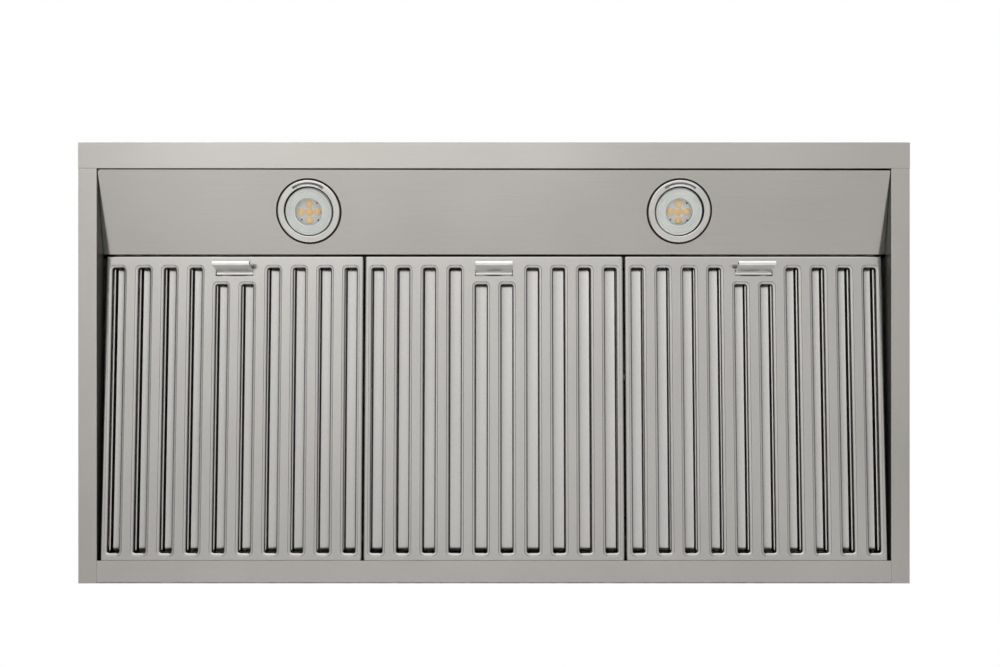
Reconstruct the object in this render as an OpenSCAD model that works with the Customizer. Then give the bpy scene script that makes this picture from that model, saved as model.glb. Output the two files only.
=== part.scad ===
// Wall mount range hood, 36 inch, with baffle filters, two lamps and a telescoping flue cover.
// +X is to the right of someone facing the hood, the front faces -Y and +Z is up.
// The origin is in the wall plane, midway along the lower edge of the back.

/* [Canopy] */
// Width of the hood
hood_w = 914; // [840:2:1000]
// Depth of the hood from the wall to the front face
hood_d = 485; // [470:1:540]
// Height of the vertical band round the lower edge
band_h = 60; // [56:1:90]
// Height of the sloping part above the band
slope_h = 190; // [186:1:240]
// Thickness of the stainless sheet
sheet_t = 1; // [0.8:0.1:1.2]
// Depth of the front bottom flange
front_flange = 29; // [24:0.5:34]
// Width of each side bottom flange
side_flange = 20.5; // [18:0.5:26]
// Depth of the rear bottom flange
rear_flange = 25; // [20:0.5:30]
// Height of the turned-up inner edge of the bottom flanges
flange_lip = 16; // [12:0.5:17]
// Width of the inward flange along the top of the band
top_lip = 15; // [10:1:20]

/* [Light panel] */
// Height of the ridge between light panel and filters, above the bottom plane
ridge_h = 17; // [15:0.5:22]
// Depth of the light panel from the front flange to the ridge
panel_d = 93; // [88:1:100]
// Height of the upright behind the ridge
ridge_wall = 25; // [22:1:30]
// Distance of each lamp from the middle of the hood
lamp_x = 205.3; // [150:1:300]

/* [Lamps] */
// Diameter of the lamp trim
trim_dia = 71; // [66:1:76]
// Thickness of the trim below the panel
trim_t = 2; // [1.5:0.1:3]
// Diameter of the round cut-out in the panel
cutout_dia = 62; // [58:1:63]
// Diameter of the lens
lens_dia = 53; // [46:1:54]
// Thickness of the lens
lens_t = 2; // [1.5:0.1:3]
// Diameter of the clear window in the middle of the lens
window_dia = 30; // [26:1:36]
// Diameter of one light emitting diode
led_dia = 7.6; // [5:0.1:8]
// Distance from the middle of the board to each outer diode
led_ring = 9.1; // [8.6:0.1:10]
// Height of the heat sink above the panel
lamp_h = 24; // [18:1:30]

/* [Filters] */
// Gap between neighbouring filters
filter_gap = 0.9; // [0.6:0.1:2]
// Gap between an end filter and the side of the hood
filter_side_gap = 2; // [1:0.1:4]
// Part of each filter that lies above the rear flange
filter_tuck = 12; // [8:0.5:16]
// Gap between the front of a filter and the ridge
filter_front_gap = 1.3; // [1.2:0.1:3]
// Height of a filter
filter_h = 20; // [20:0.5:24]
// Thickness of the filter sheet
filter_t = 0.8; // [0.6:0.1:0.9]
// Number of slots across one filter
slot_count = 10; // [10:2:12]
// Width of one slot
slot_w = 12.7; // [10:0.1:13]
// Corner radius of a slot
slot_r = 2; // [1:0.1:3]
// Plain margin beside the outermost slots
slot_side_margin = 8.13; // [6:0.01:10]
// Plain margin in front of the slots
slot_front_margin = 13.5; // [11:0.5:18]
// Distance from the rear flange to the rear end of the slots
slot_rear_margin = 7.8; // [4:0.2:12]
// Length by which the two middle slots are shorter
latch_room = 18.5; // [17:0.5:24]
// Height of the turned-in rim round each slot
slot_rim = 5; // [3:0.5:6]
// Width of a rear baffle channel
channel_w = 15.6; // [14.5:0.1:18]
// Depth of a rear baffle channel
channel_d = 7; // [5:0.5:8]
// Width of the two cross rails that hold the channels
rail_w = 9; // [6:0.5:12]
// How far a filter swings down, in degrees
filter_swing = 40; // [10:1:60]

/* [Filter latches] */
// Width of the latch and its finger pull
latch_w = 41; // [34:1:42]
// How far the latch slides back
latch_travel = 4; // [3:0.5:5]
// Thickness of the latch sheet
latch_t = 1.2; // [1:0.1:1.5]
// How far the finger pull hangs below the filter
pull_drop = 13.7; // [8:0.1:14]
// How far the finger pull leans forward
pull_lean = 8.5; // [5:0.5:10]
// Radius of the rolled lip of the finger pull
pull_r = 2.8; // [2:0.1:3.2]
// Radius of the latch spring
spring_r = 2.5; // [1.5:0.1:3]
// Length of the latch spring
spring_l = 18; // [14:0.5:22]

/* [Blower] */
// Radius of the blower wheel
wheel_r = 65; // [60:1:68]
// Length of the wheel
wheel_w = 138; // [110:1:142]
// Number of blades round the wheel
blade_count = 36; // [24:1:42]
// Radial depth of a blade
blade_d = 12; // [8:1:14]
// Smallest radius of the scroll
scroll_r_in = 72; // [71:1:76]
// Largest radius of the scroll
scroll_r_out = 102; // [96:1:104]
// Length of the scroll
scroll_w = 150; // [148:1:160]
// Height from the wheel axis to the deck
outlet_h = 85; // [82:1:92]
// Radius of each air inlet
inlet_r = 51; // [47:1:52]
// Radius of the motor
motor_r = 36; // [30:1:38]
// Radius of the motor shaft
shaft_r = 4; // [3:0.5:6]
// Radial clearance of the shaft in the motor
shaft_play = 0.05; // [0.02:0.01:0.1]

/* [Duct] */
// Outside radius of the duct collar
collar_r = 75; // [60:1:75]
// Height of the duct collar
collar_h = 50; // [40:1:70]
// Radius of the damper pin
pin_r = 1.5; // [1.2:0.1:2.5]
// Radial clearance of the damper flaps on their pin
pin_play = 0.08; // [0.05:0.01:0.1]
// How far the damper flaps open, in degrees
damper_swing = 75; // [40:1:75]

/* [Chimney] */
// Width of the lower flue cover
chimney_w = 310; // [290:1:340]
// Depth of the lower flue cover
chimney_d = 270; // [265:1:300]
// Height of the lower flue cover
lower_h = 400; // [300:5:500]
// Height of the upper flue cover
upper_h = 400; // [300:5:500]
// Height of the upper cover above the lower one when pushed down
upper_show = 45; // [20:5:80]
// How far the upper cover can be raised
upper_travel = 280; // [100:5:300]
// Clearance between the two flue covers
cover_play = 0.6; // [0.4:0.1:2]
// Width of the turned-in rear edges of the covers
cover_return = 20; // [12:1:30]

/* [Controls] */
// Radius of a push button
button_r = 8; // [6:0.5:10]
// Distance from one button to the next
button_pitch = 30; // [26:1:36]
// How far a button stands out of the front
button_proud = 3.5; // [3.2:0.1:6]
// Travel of a button
button_travel = 3; // [2:0.1:3]
// Radial clearance of a button in its hole
button_play = 0.4; // [0.2:0.05:0.6]

/* [Fixings] */
// Radius of the wall screw holes
wall_hole_r = 4.5; // [3:0.5:6]
// Distance between the two upper wall holes
upper_hole_spacing = 240; // [200:2:250]
// Distance between the two lower wall holes
lower_hole_spacing = 700; // [600:2:760]
// Radius of a small sheet screw
screw_r = 1.9; // [1.5:0.1:2]
// Radius of a sheet screw head
screw_head_r = 3.6; // [3:0.1:4.5]
// Height of a sheet screw head
screw_head_h = 2; // [1.5:0.1:3]
// Radius of the bore in the cable gland
gland_bore_r = 4.5; // [3:0.5:5.5]

/* [Hidden] */
$fn = 64;

steel = [0.74, 0.73, 0.71];
steel_dark = [0.62, 0.61, 0.60];
galvanised = [0.70, 0.72, 0.74];
black_plastic = [0.10, 0.10, 0.11];
grey_plastic = [0.62, 0.63, 0.65];
frosted = [0.93, 0.93, 0.91];
amber = [0.95, 0.70, 0.25];
board_green = [0.12, 0.35, 0.20];
zinc = [0.80, 0.80, 0.78];

// Clearance where flat faces of two bodies lie side by side
seat_gap = 0.3;
// Clearance of a screw shank in its hole
screw_play = 0.2;
// Height of the frame on the deck, which the flue cover fits over
frame_h = 14;
// Height of the turned-up front edge of the light panel
panel_lip = 10;
// Margin by which the deck stands out round the flue cover
deck_margin = 5;

half_w = hood_w / 2;
inner_half_w = half_w - side_flange;
flange_y = front_flange - hood_d;
deck_z = band_h + slope_h;
deck_top = deck_z + sheet_t;
deck_half_w = chimney_w / 2 + deck_margin;
deck_d = chimney_d + deck_margin;

panel_front_y = flange_y + 1;
panel_front_z = sheet_t + 0.2;
ridge_y = panel_front_y + panel_d - 1;
panel_tilt = atan2(ridge_h - panel_front_z, ridge_y - panel_front_y);
panel_len = norm([ridge_y - panel_front_y, ridge_h - panel_front_z]);
lamp_along = panel_len / 2 - 1;

filter_pitch = (2 * inner_half_w - 2 * filter_side_gap + filter_gap) / 3;
filter_w = filter_pitch - filter_gap;
slot_pitch = (filter_w - 2 * slot_side_margin - slot_w) / (slot_count - 1);
filter_reach = -rear_flange - ridge_y - filter_front_gap;
filter_rear_z = sheet_t + seat_gap;
filter_tilt = asin((ridge_h + 0.8 - filter_rear_z) / (filter_reach + filter_tuck));
pivot_y = -rear_flange;
pivot_z = filter_rear_z + filter_tuck * sin(filter_tilt);
filter_front = -filter_reach;
slot_front = filter_front + slot_front_margin;
slot_rear = -slot_rear_margin;
hem_t = filter_t;
rail_top = filter_h - hem_t;
channel_top = rail_top - filter_t;

latch_x_play = 0.5;
pull_top = slot_front + latch_room / 4;
latch_z = filter_t + seat_gap;
pull_angle = atan2(pull_lean, pull_drop + latch_z);
window_front = pull_top - latch_z * tan(pull_angle) - latch_t / cos(pull_angle) - 0.5;
window_rear = pull_top + latch_travel + 0.5;
latch_heel = pull_top + 3;
spring_front = latch_heel + latch_t;

duct_y = -chimney_d / 2;
collar_t = 1;
damper_z = deck_top + 22;
tongue_angle = 50;
spiral_turn = 230;
tongue_y = scroll_r_in * cos(tongue_angle);
blower_y = duct_y + (scroll_r_out - tongue_y) / 2;
blower_z = deck_z - outlet_h;
scroll_half = scroll_w / 2;

fascia_mid_z = band_h / 2 + 2;
button_len = button_proud + sheet_t + 10;
housing_depth = button_len + button_travel + 0.5 - button_proud - sheet_t;

// Points, directions and outlines of bent sheet

function unit(v) = v / norm(v);
function left_of(v) = [-v[1], v[0]];
function side_dir(p, i) = left_of(unit(p[i + 1] - p[i]));
// The point of the second skin that lies t to the left of point i of the line p
function bend(p, i, t) =
    i == 0 ? p[0] + t * side_dir(p, 0)
    : i == len(p) - 1 ? p[i] + t * side_dir(p, i - 1)
    : let(a = side_dir(p, i - 1), b = side_dir(p, i)) p[i] + t * (a + b) / (1 + a * b);
function sheet_outline(p, t) = concat(p, [for (i = [len(p) - 1:-1:0]) bend(p, i, t)]);

// Profile in Y and Z, drawn out along X from x0 to x1
module along_x(x0, x1) translate([x0, 0, 0]) rotate([90, 0, 90]) linear_extrude(x1 - x0) children();
// Profile in X and Z, drawn out along Y from y0 to y1
module along_y(y0, y1) translate([0, y1, 0]) rotate([90, 0, 0]) linear_extrude(y1 - y0) children();
// A sheet bent along the line p, with its second skin to the left of the line
module bent(p, t) polygon(sheet_outline(p, t));

// A rounded rectangle with true arcs, from its corner at x0, y0
module rounded(x0, y0, w, l, r) {
    translate([x0 + r, y0]) square([w - 2 * r, l]);
    translate([x0, y0 + r]) square([w, l - 2 * r]);
    for (x = [x0 + r, x0 + w - r], y = [y0 + r, y0 + l - r]) translate([x, y]) circle(r);
}

// A pan head screw along +Z, with the underside of its head at the origin
module screw(shank) {
    translate([0, 0, -shank]) cylinder(r = screw_r, h = shank);
    cylinder(r = screw_head_r, h = screw_head_h);
}

// A screw hole along Z, longer than the sheet
module screw_hole() cylinder(r = screw_r + screw_play, h = 12, center = true);

// A wire of radius r along the points p: a ring of eight points is carried from each bend to the next
wire_sides = 8;
function heading(p, i) = unit(p[i + 1] - p[i]);
function mitre(p, i) = i == len(p) - 1 ? heading(p, i - 1) : unit(heading(p, i - 1) + heading(p, i));
function carried(ring, p, i) = let(d = heading(p, i), n = mitre(p, i + 1))
    [for (q = ring) q + d * ((p[i + 1] - q) * n) / (d * n)];
function rings(p, ring, i = 0) = i == len(p) - 1 ? ring : concat(ring, rings(p, carried(ring, p, i), i + 1));
module wire(p, r) {
    d = heading(p, 0);
    u = unit(cross(d, abs(d[2]) < 0.9 ? [0, 0, 1] : [1, 0, 0]));
    v = cross(d, u);
    first = [for (k = [0:wire_sides - 1]) let(a = k * 360 / wire_sides) p[0] + r * (cos(a) * u + sin(a) * v)];
    last = (len(p) - 1) * wire_sides;
    polyhedron(points = rings(p, first), faces = concat(
        [[for (k = [0:wire_sides - 1]) k]], [[for (k = [wire_sides - 1:-1:0]) last + k]],
        [for (i = [0:len(p) - 2], k = [0:wire_sides - 1]) let(a = i * wire_sides + k,
            b = i * wire_sides + (k + 1) % wire_sides) [a, a + wire_sides, b + wire_sides, b]]));
}

// Canopy

button_names = ["stop", "low", "medium", "high", "light"];
function button_x(i) = (i - 2) * button_pitch;

module front_fascia() color(steel) difference() {
    union() {
        along_x(-half_w, half_w)
            bent([[flange_y, 0], [-hood_d, 0], [-hood_d, band_h], [top_lip - hood_d, band_h]], -sheet_t);
        translate([-inner_half_w, flange_y - sheet_t, 0]) cube([2 * inner_half_w, sheet_t, flange_lip - 3]);
    }
    for (i = [0:4]) translate([button_x(i), -hood_d - 1, fascia_mid_z])
        rotate([-90, 0, 0]) cylinder(r = button_r + button_play, h = sheet_t + 2);
}

// Wall, bottom flange, turned-up lip and top flange, notched for the back panel and the front's top flange
module right_side() color(steel) difference() {
    union() {
        along_y(flange_y, 0) bent([[inner_half_w, flange_lip], [inner_half_w, 0], [half_w, 0], [half_w, band_h],
            [half_w - top_lip, band_h]], sheet_t);
        translate([half_w - sheet_t, sheet_t - hood_d, sheet_t])
            cube([sheet_t, front_flange - sheet_t, band_h - sheet_t]);
    }
    translate([inner_half_w - 1, -sheet_t, sheet_t]) cube([side_flange + 1 - sheet_t, sheet_t + 1, band_h]);
    translate([half_w - sheet_t - 1, -hood_d, band_h - sheet_t]) cube([sheet_t + 2, top_lip, sheet_t + 1]);
}

module left_side() mirror([1, 0, 0]) right_side();

// The sloping sheets lie between an outer and an inner frustum and meet in mitred corners
slope_front_run = hood_d - deck_d;
slope_side_run = half_w - deck_half_w;
front_shift = sheet_t * norm([slope_front_run, slope_h]) / slope_h;
side_shift = sheet_t * norm([slope_side_run, slope_h]) / slope_h;

// A wedge between two skins: four corners of the outer skin, then four of the inner one
module skin(outer, inner) polyhedron(points = concat(outer, inner),
    faces = [[0, 1, 2, 3], [7, 6, 5, 4], [0, 4, 5, 1], [1, 5, 6, 2], [2, 6, 7, 3], [3, 7, 4, 0]]);

module front_slope() color(steel) skin(
    [[-half_w, -hood_d, band_h], [-deck_half_w, -deck_d, deck_z], [deck_half_w, -deck_d, deck_z],
        [half_w, -hood_d, band_h]],
    [[side_shift - half_w, front_shift - hood_d, band_h], [side_shift - deck_half_w, front_shift - deck_d, deck_z],
        [deck_half_w - side_shift, front_shift - deck_d, deck_z],
        [half_w - side_shift, front_shift - hood_d, band_h]]);

module right_slope() color(steel) skin(
    [[half_w, -hood_d, band_h], [deck_half_w, -deck_d, deck_z], [deck_half_w, -sheet_t, deck_z],
        [half_w, -sheet_t, band_h]],
    [[half_w - side_shift, front_shift - hood_d, band_h], [deck_half_w - side_shift, front_shift - deck_d, deck_z],
        [deck_half_w - side_shift, -sheet_t, deck_z], [half_w - side_shift, -sheet_t, band_h]]);

module left_slope() color(steel) mirror([1, 0, 0]) right_slope();

// Height of the wall holes above the bottom plane
upper_hole_z = deck_z - 30;
lower_hole_z = band_h - 18;

module back_panel() color(galvanised) difference() {
    along_y(-sheet_t, 0) polygon([[-inner_half_w, 0], [inner_half_w, 0], [inner_half_w, sheet_t],
        [half_w - sheet_t, sheet_t], [half_w - sheet_t, band_h], [half_w, band_h], [deck_half_w, deck_z],
        [-deck_half_w, deck_z], [-half_w, band_h], [sheet_t - half_w, band_h], [sheet_t - half_w, sheet_t],
        [-inner_half_w, sheet_t]]);
    for (s = [-1, 1], hole = [[upper_hole_spacing / 2, upper_hole_z], [lower_hole_spacing / 2, lower_hole_z]])
        translate([s * hole[0], -5, hole[1]]) rotate([-90, 0, 0]) cylinder(r = wall_hole_r, h = 10);
}

module rear_rail() color(steel) along_x(-inner_half_w, inner_half_w)
    bent([[-rear_flange, 0], [-sheet_t, 0], [-sheet_t, flange_lip + 10]], sheet_t);

// Width of the flange by which each end plate of the blower hangs from the deck
hanger_w = 16;
// Places of the screws that hold the blower to the deck
blower_screw_x = scroll_half + sheet_t + hanger_w / 2;
blower_screw_y = 55;

gland_place = [deck_half_w - 40, duct_y - 80];
gland_r = gland_bore_r + 3.5;

module top_deck() color(galvanised) difference() {
    translate([-deck_half_w, -deck_d, deck_z]) cube([2 * deck_half_w, deck_d, sheet_t]);
    translate([0, duct_y, deck_z - 1]) cylinder(r = collar_r - collar_t, h = sheet_t + 2);
    translate([gland_place[0], gland_place[1], deck_z - 1]) cylinder(r = gland_r, h = sheet_t + 2);
    for (x = [-blower_screw_x, blower_screw_x], y = [-blower_screw_y, blower_screw_y])
        translate([x, duct_y + y, deck_z]) screw_hole();
}

// Upright frame welded on the deck: its outer skin stands seat_gap inside the flue cover
frame_half_w = chimney_w / 2 - sheet_t - seat_gap;
frame_front = sheet_t + seat_gap - chimney_d;
module flue_frame() color(galvanised) difference() {
    translate([0, 0, deck_top]) linear_extrude(frame_h) bent([[-frame_half_w, -10], [-frame_half_w, frame_front],
        [frame_half_w, frame_front], [frame_half_w, -10]], sheet_t);
    for (s = [-1, 1]) translate([s * chimney_w / 2, duct_y, deck_top + frame_h / 2])
        rotate([0, 90, 0]) screw_hole();
}

// Light panel and lamps

// Frame of the sloping panel: origin on its lower face in front, +Y up the slope, +Z into the hood
module on_panel() translate([0, panel_front_y, panel_front_z]) rotate([panel_tilt, 0, 0]) children();
module at_lamp(s) on_panel() translate([s * lamp_x, lamp_along, 0]) children();

tongue_w = latch_w - 8;
function filter_x(i) = (i - 1) * filter_pitch;

module light_panel() color(steel) difference() {
    along_x(-inner_half_w + 0.5, inner_half_w - 0.5) bent([[panel_front_y, panel_front_z + panel_lip],
        [panel_front_y, panel_front_z], [ridge_y, ridge_h], [ridge_y, ridge_h + ridge_wall]], sheet_t);
    for (s = [-1, 1]) at_lamp(s) translate([0, 0, -5]) cylinder(d = cutout_dia, h = 10);
    for (i = [0:2]) translate([filter_x(i) - tongue_w / 2 - 1.5, ridge_y - 3, ridge_h + 1.5])
        cube([tongue_w + 3, 6, 5]);
}

trim_inner_r = lens_dia / 2 + 0.2;

module lamp_trim(s) color(steel_dark) at_lamp(s) rotate_extrude() polygon([
    [trim_inner_r, -trim_t * 0.6], [trim_inner_r + 1, -trim_t], [trim_dia / 2 - 1, -trim_t], [trim_dia / 2, -1],
    [trim_dia / 2, 0], [cutout_dia / 2 - 0.5, 0], [cutout_dia / 2 - 0.5, 8], [trim_inner_r, 8]]);

module lamp_lens(s) color(frosted) at_lamp(s) difference() {
    cylinder(d = lens_dia, h = lens_t);
    translate([0, 0, -1]) cylinder(d = window_dia, h = 1.6);
}

module lamp_leds(s) at_lamp(s) {
    color(board_green) translate([0, 0, lens_t + 1.8]) cylinder(d = window_dia + 4, h = 1.6);
    color(amber) for (p = concat([[0, 0]], [for (a = [0:90:270]) led_ring * [cos(a), sin(a)]]))
        translate([p[0], p[1], lens_t + 0.4]) cylinder(d = led_dia, h = 1.4);
}

// Heat sink: a base that carries the board, a foot ring that stands on the lens, and fins
module lamp_body(s) color(galvanised) at_lamp(s) {
    base_z = lens_t + 3.4;
    difference() {
        translate([0, 0, lens_t]) cylinder(d = lens_dia - 1, h = 7);
        translate([0, 0, lens_t - 1]) cylinder(d = lens_dia - 5, h = base_z - lens_t + 1);
    }
    for (i = [-3:3]) translate([-(lens_dia / 2 - 7), i * 6 - 0.9, lens_t + 6])
        cube([lens_dia - 14, 1.8, lamp_h - lens_t - 6]);
}

// Two spring clips on each lamp, which press on the upper side of the panel
module lamp_clips() color(zinc) for (s = [-1, 1]) at_lamp(s) for (a = [0, 180]) rotate([0, 0, a])
    along_y(-5, 5) bent([[trim_dia / 2 + 3, sheet_t + 0.6], [cutout_dia / 2 + 4, sheet_t + 8],
        [cutout_dia / 2 - 0.4, sheet_t + 8], [cutout_dia / 2 - 0.4, sheet_t + 1]], 0.8);

// Filters

// Frame of a filter: origin on its lower face at the pivot, +Y to the wall, +Z into the hood
module on_filter(i) translate([filter_x(i), pivot_y, pivot_z]) rotate([-filter_tilt, 0, 0]) children();

function slot_x(j) = (j - (slot_count - 1) / 2) * slot_pitch;
function is_middle(j) = abs(j - (slot_count - 1) / 2) < 1;
function slot_start(j) = slot_front + (is_middle(j) ? latch_room : 0);

module slot_shape(j, grow) rounded(slot_x(j) - slot_w / 2 - grow, slot_start(j) - grow, slot_w + 2 * grow,
    slot_rear - slot_start(j) + 2 * grow, slot_r + grow);

module filter_face(i) color(steel) on_filter(i) {
    inner_w = filter_w - 2 * filter_t;
    inner_l = filter_reach + filter_tuck - 2 * filter_t;
    difference() {
        translate([-filter_w / 2, filter_front, 0]) cube([filter_w, filter_reach + filter_tuck, filter_h]);
        translate([-inner_w / 2, filter_front + filter_t, filter_t]) cube([inner_w, inner_l, rail_top - filter_t]);
        translate([5 - inner_w / 2, filter_front + filter_t + 5, rail_top - 1])
            cube([inner_w - 10, inner_l - 10, hem_t + 2]);
        translate([0, 0, -1]) linear_extrude(filter_t + 2) {
            for (j = [0:slot_count - 1]) slot_shape(j, 0);
            translate([-latch_w / 2 - latch_x_play, window_front]) square([latch_w + 2 * latch_x_play,
                window_rear - window_front]);
        }
        translate([-tongue_w / 2 - 1, filter_front - 1, latch_z - 0.2]) cube([tongue_w + 2, 3, latch_t + 0.4]);
    }
    linear_extrude(slot_rim) for (j = [0:slot_count - 1]) difference() {
        slot_shape(j, filter_t);
        slot_shape(j, 0);
    }
    translate([-5, spring_front + spring_l, filter_t]) cube([10, 1.5, 2 * spring_r + 1]);
}

module filter_baffle(i) color(steel_dark) on_filter(i) {
    for (j = [0:slot_count - 1]) translate([slot_x(j), 0, 0]) along_y(slot_start(j) - 1, slot_rear + 1)
        bent([[-channel_w / 2, channel_top - channel_d], [-channel_w / 2, channel_top], [channel_w / 2, channel_top],
            [channel_w / 2, channel_top - channel_d]], -filter_t);
    for (y = [slot_front + latch_room + 2, slot_rear - rail_w - 1])
        translate([filter_t - filter_w / 2, y, channel_top]) cube([filter_w - 2 * filter_t, rail_w, filter_t]);
}

module filter_latch(i) color(steel) on_filter(i) {
    along_x(-latch_w / 2, latch_w / 2) bent([[latch_heel + latch_t, latch_z + latch_t + 2 * spring_r],
        [latch_heel + latch_t, latch_z], [pull_top, latch_z], [pull_top - pull_lean, -pull_drop]], -latch_t);
    translate([-tongue_w / 2, filter_front - 0.5, latch_z])
        cube([tongue_w, pull_top - filter_front, latch_t]);
    translate([-latch_w / 2, pull_top - pull_lean, -pull_drop]) rotate([0, 90, 0]) cylinder(r = pull_r, h = latch_w);
}

module latch_spring(i) color(zinc) on_filter(i) translate([0, spring_front, latch_z + spring_r + 0.5])
    rotate([-90, 0, 0]) difference() {
        cylinder(r = spring_r, h = spring_l);
        translate([0, 0, -1]) cylinder(r = spring_r - 0.8, h = spring_l + 2);
    }

// Blower

spiral_steps = 23;
function spiral_point(s) = let(r = scroll_r_in + (scroll_r_out - scroll_r_in) * s, a = tongue_angle - spiral_turn * s)
    [blower_y + r * cos(a), blower_z + r * sin(a)];
scroll_line = concat([[blower_y + tongue_y, deck_z]], [for (k = [0:spiral_steps]) spiral_point(k / spiral_steps)],
    [[blower_y - scroll_r_out, deck_z]]);

module blower_scroll() color(galvanised) along_x(-scroll_half, scroll_half) bent(scroll_line, sheet_t);

// One end plate with its inlet and the flange that is screwed to the deck
module end_plate() {
    difference() {
        along_x(scroll_half, scroll_half + sheet_t) polygon([for (k = [0:len(scroll_line) - 1])
            bend(scroll_line, k, sheet_t)]);
        translate([scroll_half - 5, blower_y, blower_z]) rotate([0, 90, 0]) cylinder(r = inlet_r, h = 10);
    }
    difference() {
        translate([scroll_half, blower_y - scroll_r_out, deck_z - sheet_t])
            cube([sheet_t + hanger_w, scroll_r_out + tongue_y, sheet_t]);
        for (y = [-blower_screw_y, blower_screw_y]) translate([blower_screw_x, duct_y + y, deck_z]) screw_hole();
    }
}

module blower_side_right() color(galvanised) end_plate();
module blower_side_left() color(galvanised) mirror([1, 0, 0]) end_plate();

module on_axis() translate([0, blower_y, blower_z]) rotate([0, 90, 0]) children();

hub_r = 12;
module blower_wheel() color(black_plastic) on_axis() {
    translate([0, 0, -wheel_w / 2]) linear_extrude(wheel_w) for (k = [0:blade_count - 1])
        rotate(k * 360 / blade_count) translate([wheel_r - blade_d, 0]) rotate(25)
            translate([0, -0.6]) square([blade_d - 2, 1.2]);
    for (z = [-wheel_w / 2, wheel_w / 2 - 3]) translate([0, 0, z]) difference() {
        cylinder(r = wheel_r, h = 3);
        translate([0, 0, -1]) cylinder(r = wheel_r - 6, h = 5);
    }
    difference() {
        union() {
            translate([0, 0, -1]) cylinder(r = wheel_r, h = 2);
            translate([0, 0, -6]) cylinder(r = hub_r, h = 16);
        }
        translate([0, 0, -10]) cylinder(r = shaft_r, h = 30);
    }
}

motor_face = 8;
bracket_t = 2;
bracket_x = scroll_half + sheet_t + bracket_t;
module motor() color(steel_dark) on_axis() difference() {
    union() {
        translate([0, 0, -bracket_x - 14]) cylinder(r = motor_r, h = bracket_x + 14 - motor_face);
        translate([0, 0, -bracket_x - 3]) cylinder(r = motor_r + 5, h = 3);
    }
    translate([0, 0, -62]) cylinder(r = shaft_r + shaft_play, h = 62);
}

module motor_shaft() color(zinc) on_axis() translate([0, 0, -58]) cylinder(r = shaft_r, h = 70);

module motor_bracket() color(galvanised) on_axis() translate([0, 0, -bracket_x]) linear_extrude(bracket_t) {
    difference() {
        circle(inlet_r + 12);
        circle(inlet_r);
    }
    difference() {
        union() {
            circle(motor_r + 6);
            for (a = [30, 150, 270]) rotate(a) translate([motor_r, -6]) square([inlet_r + 6 - motor_r, 12]);
        }
        circle(motor_r + seat_gap);
    }
}

module blower_screws() color(zinc) for (x = [-blower_screw_x, blower_screw_x], y = [-blower_screw_y, blower_screw_y])
    translate([x, duct_y + y, deck_top]) screw(8);

// Duct collar and damper

// Width of the bead inside the collar that the closed flaps rest on
stop_w = 2;
module duct_collar() color(galvanised) translate([0, duct_y, 0]) difference() {
    union() {
        translate([0, 0, deck_top]) cylinder(r = collar_r + 3, h = 1);
        translate([0, 0, deck_top]) cylinder(r = collar_r, h = collar_h);
    }
    translate([0, 0, deck_top - 1]) cylinder(r = collar_r - collar_t - stop_w, h = collar_h + 2);
    translate([0, 0, deck_top - 1]) cylinder(r = collar_r - collar_t, h = damper_z - deck_top - 2);
    translate([0, 0, damper_z - 0.8]) cylinder(r = collar_r - collar_t, h = collar_h);
    translate([0, 0, damper_z]) rotate([0, 90, 0]) cylinder(r = pin_r, h = 2 * collar_r + 10, center = true);
}

// Depth of the pin's ends below the collar's surface, so that a duct slides over them
pin_sink = 0.3;
module damper_pin() color(zinc) translate([pin_sink - collar_r, duct_y, damper_z]) rotate([0, 90, 0])
    cylinder(r = pin_r, h = 2 * (collar_r - pin_sink));

barrel_r = pin_r + 1;
flap_r = collar_r - collar_t - 1.2;
// Half of a round flap that lies to the -Y side of the pin, with knuckles from each start to start + knuckle_l
knuckle_l = 20;
module flap(starts) difference() {
    union() {
        translate([0, 0, -0.5]) linear_extrude(1) difference() {
            circle(flap_r);
            translate([-flap_r - 1, -barrel_r - 0.7]) square([2 * flap_r + 2, 2 * flap_r]);
        }
        for (x = starts) {
            translate([x, 0, 0]) rotate([0, 90, 0]) cylinder(r = barrel_r, h = knuckle_l);
            translate([x, -barrel_r - 2, -0.5]) cube([knuckle_l, barrel_r + 2, 1]);
        }
    }
    rotate([0, 90, 0]) cylinder(r = pin_r + pin_play, h = 3 * flap_r, center = true);
}

module damper_front() color(galvanised) translate([0, duct_y, damper_z]) flap([-58, 15]);
module damper_rear() color(galvanised) translate([0, duct_y, damper_z]) rotate([0, 0, 180]) flap([-58, 15]);

// Controls

module at_button(i) translate([button_x(i), -hood_d, fascia_mid_z]) rotate([-90, 0, 0]) children();

module button(i) color(steel_dark) at_button(i) {
    translate([0, 0, -button_proud]) cylinder(r1 = button_r - 0.6, r2 = button_r, h = 0.6);
    translate([0, 0, 0.6 - button_proud]) cylinder(r = button_r, h = button_len - 0.6);
}

module switch_housing() color(black_plastic) difference() {
    translate([-2.5 * button_pitch, sheet_t - hood_d, fascia_mid_z - button_r - 4])
        cube([5 * button_pitch, housing_depth, 2 * button_r + 8]);
    for (i = [0:4]) at_button(i) cylinder(r = button_r + button_play, h = housing_depth + 5);
}

module control_board() color(board_green)
    translate([-2.5 * button_pitch, sheet_t - hood_d + housing_depth, fascia_mid_z - button_r - 4])
        cube([5 * button_pitch, 1.6, 2 * button_r + 8]);

// Electrical box, capacitor and wiring

box_size = [90, 45, 60];
box_x = deck_half_w + 30;
box_z = band_h + 12;
module wiring_box() color(galvanised) translate([box_x, -sheet_t - box_size[1], box_z]) difference() {
    cube(box_size);
    translate([1, -1, 1]) cube([box_size[0] - 2, box_size[1], box_size[2] - 2]);
    translate([-5, box_size[1] / 2, box_size[2] / 2]) rotate([0, 90, 0]) cylinder(r = 4, h = 10);
}

module wiring_cover() color(galvanised) translate([box_x - 1, -sheet_t - box_size[1] - 1, box_z - 1])
    difference() {
        cube([box_size[0] + 2, 9, box_size[2] + 2]);
        translate([1, 1, 1]) cube([box_size[0], 9, box_size[2]]);
    }

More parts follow.
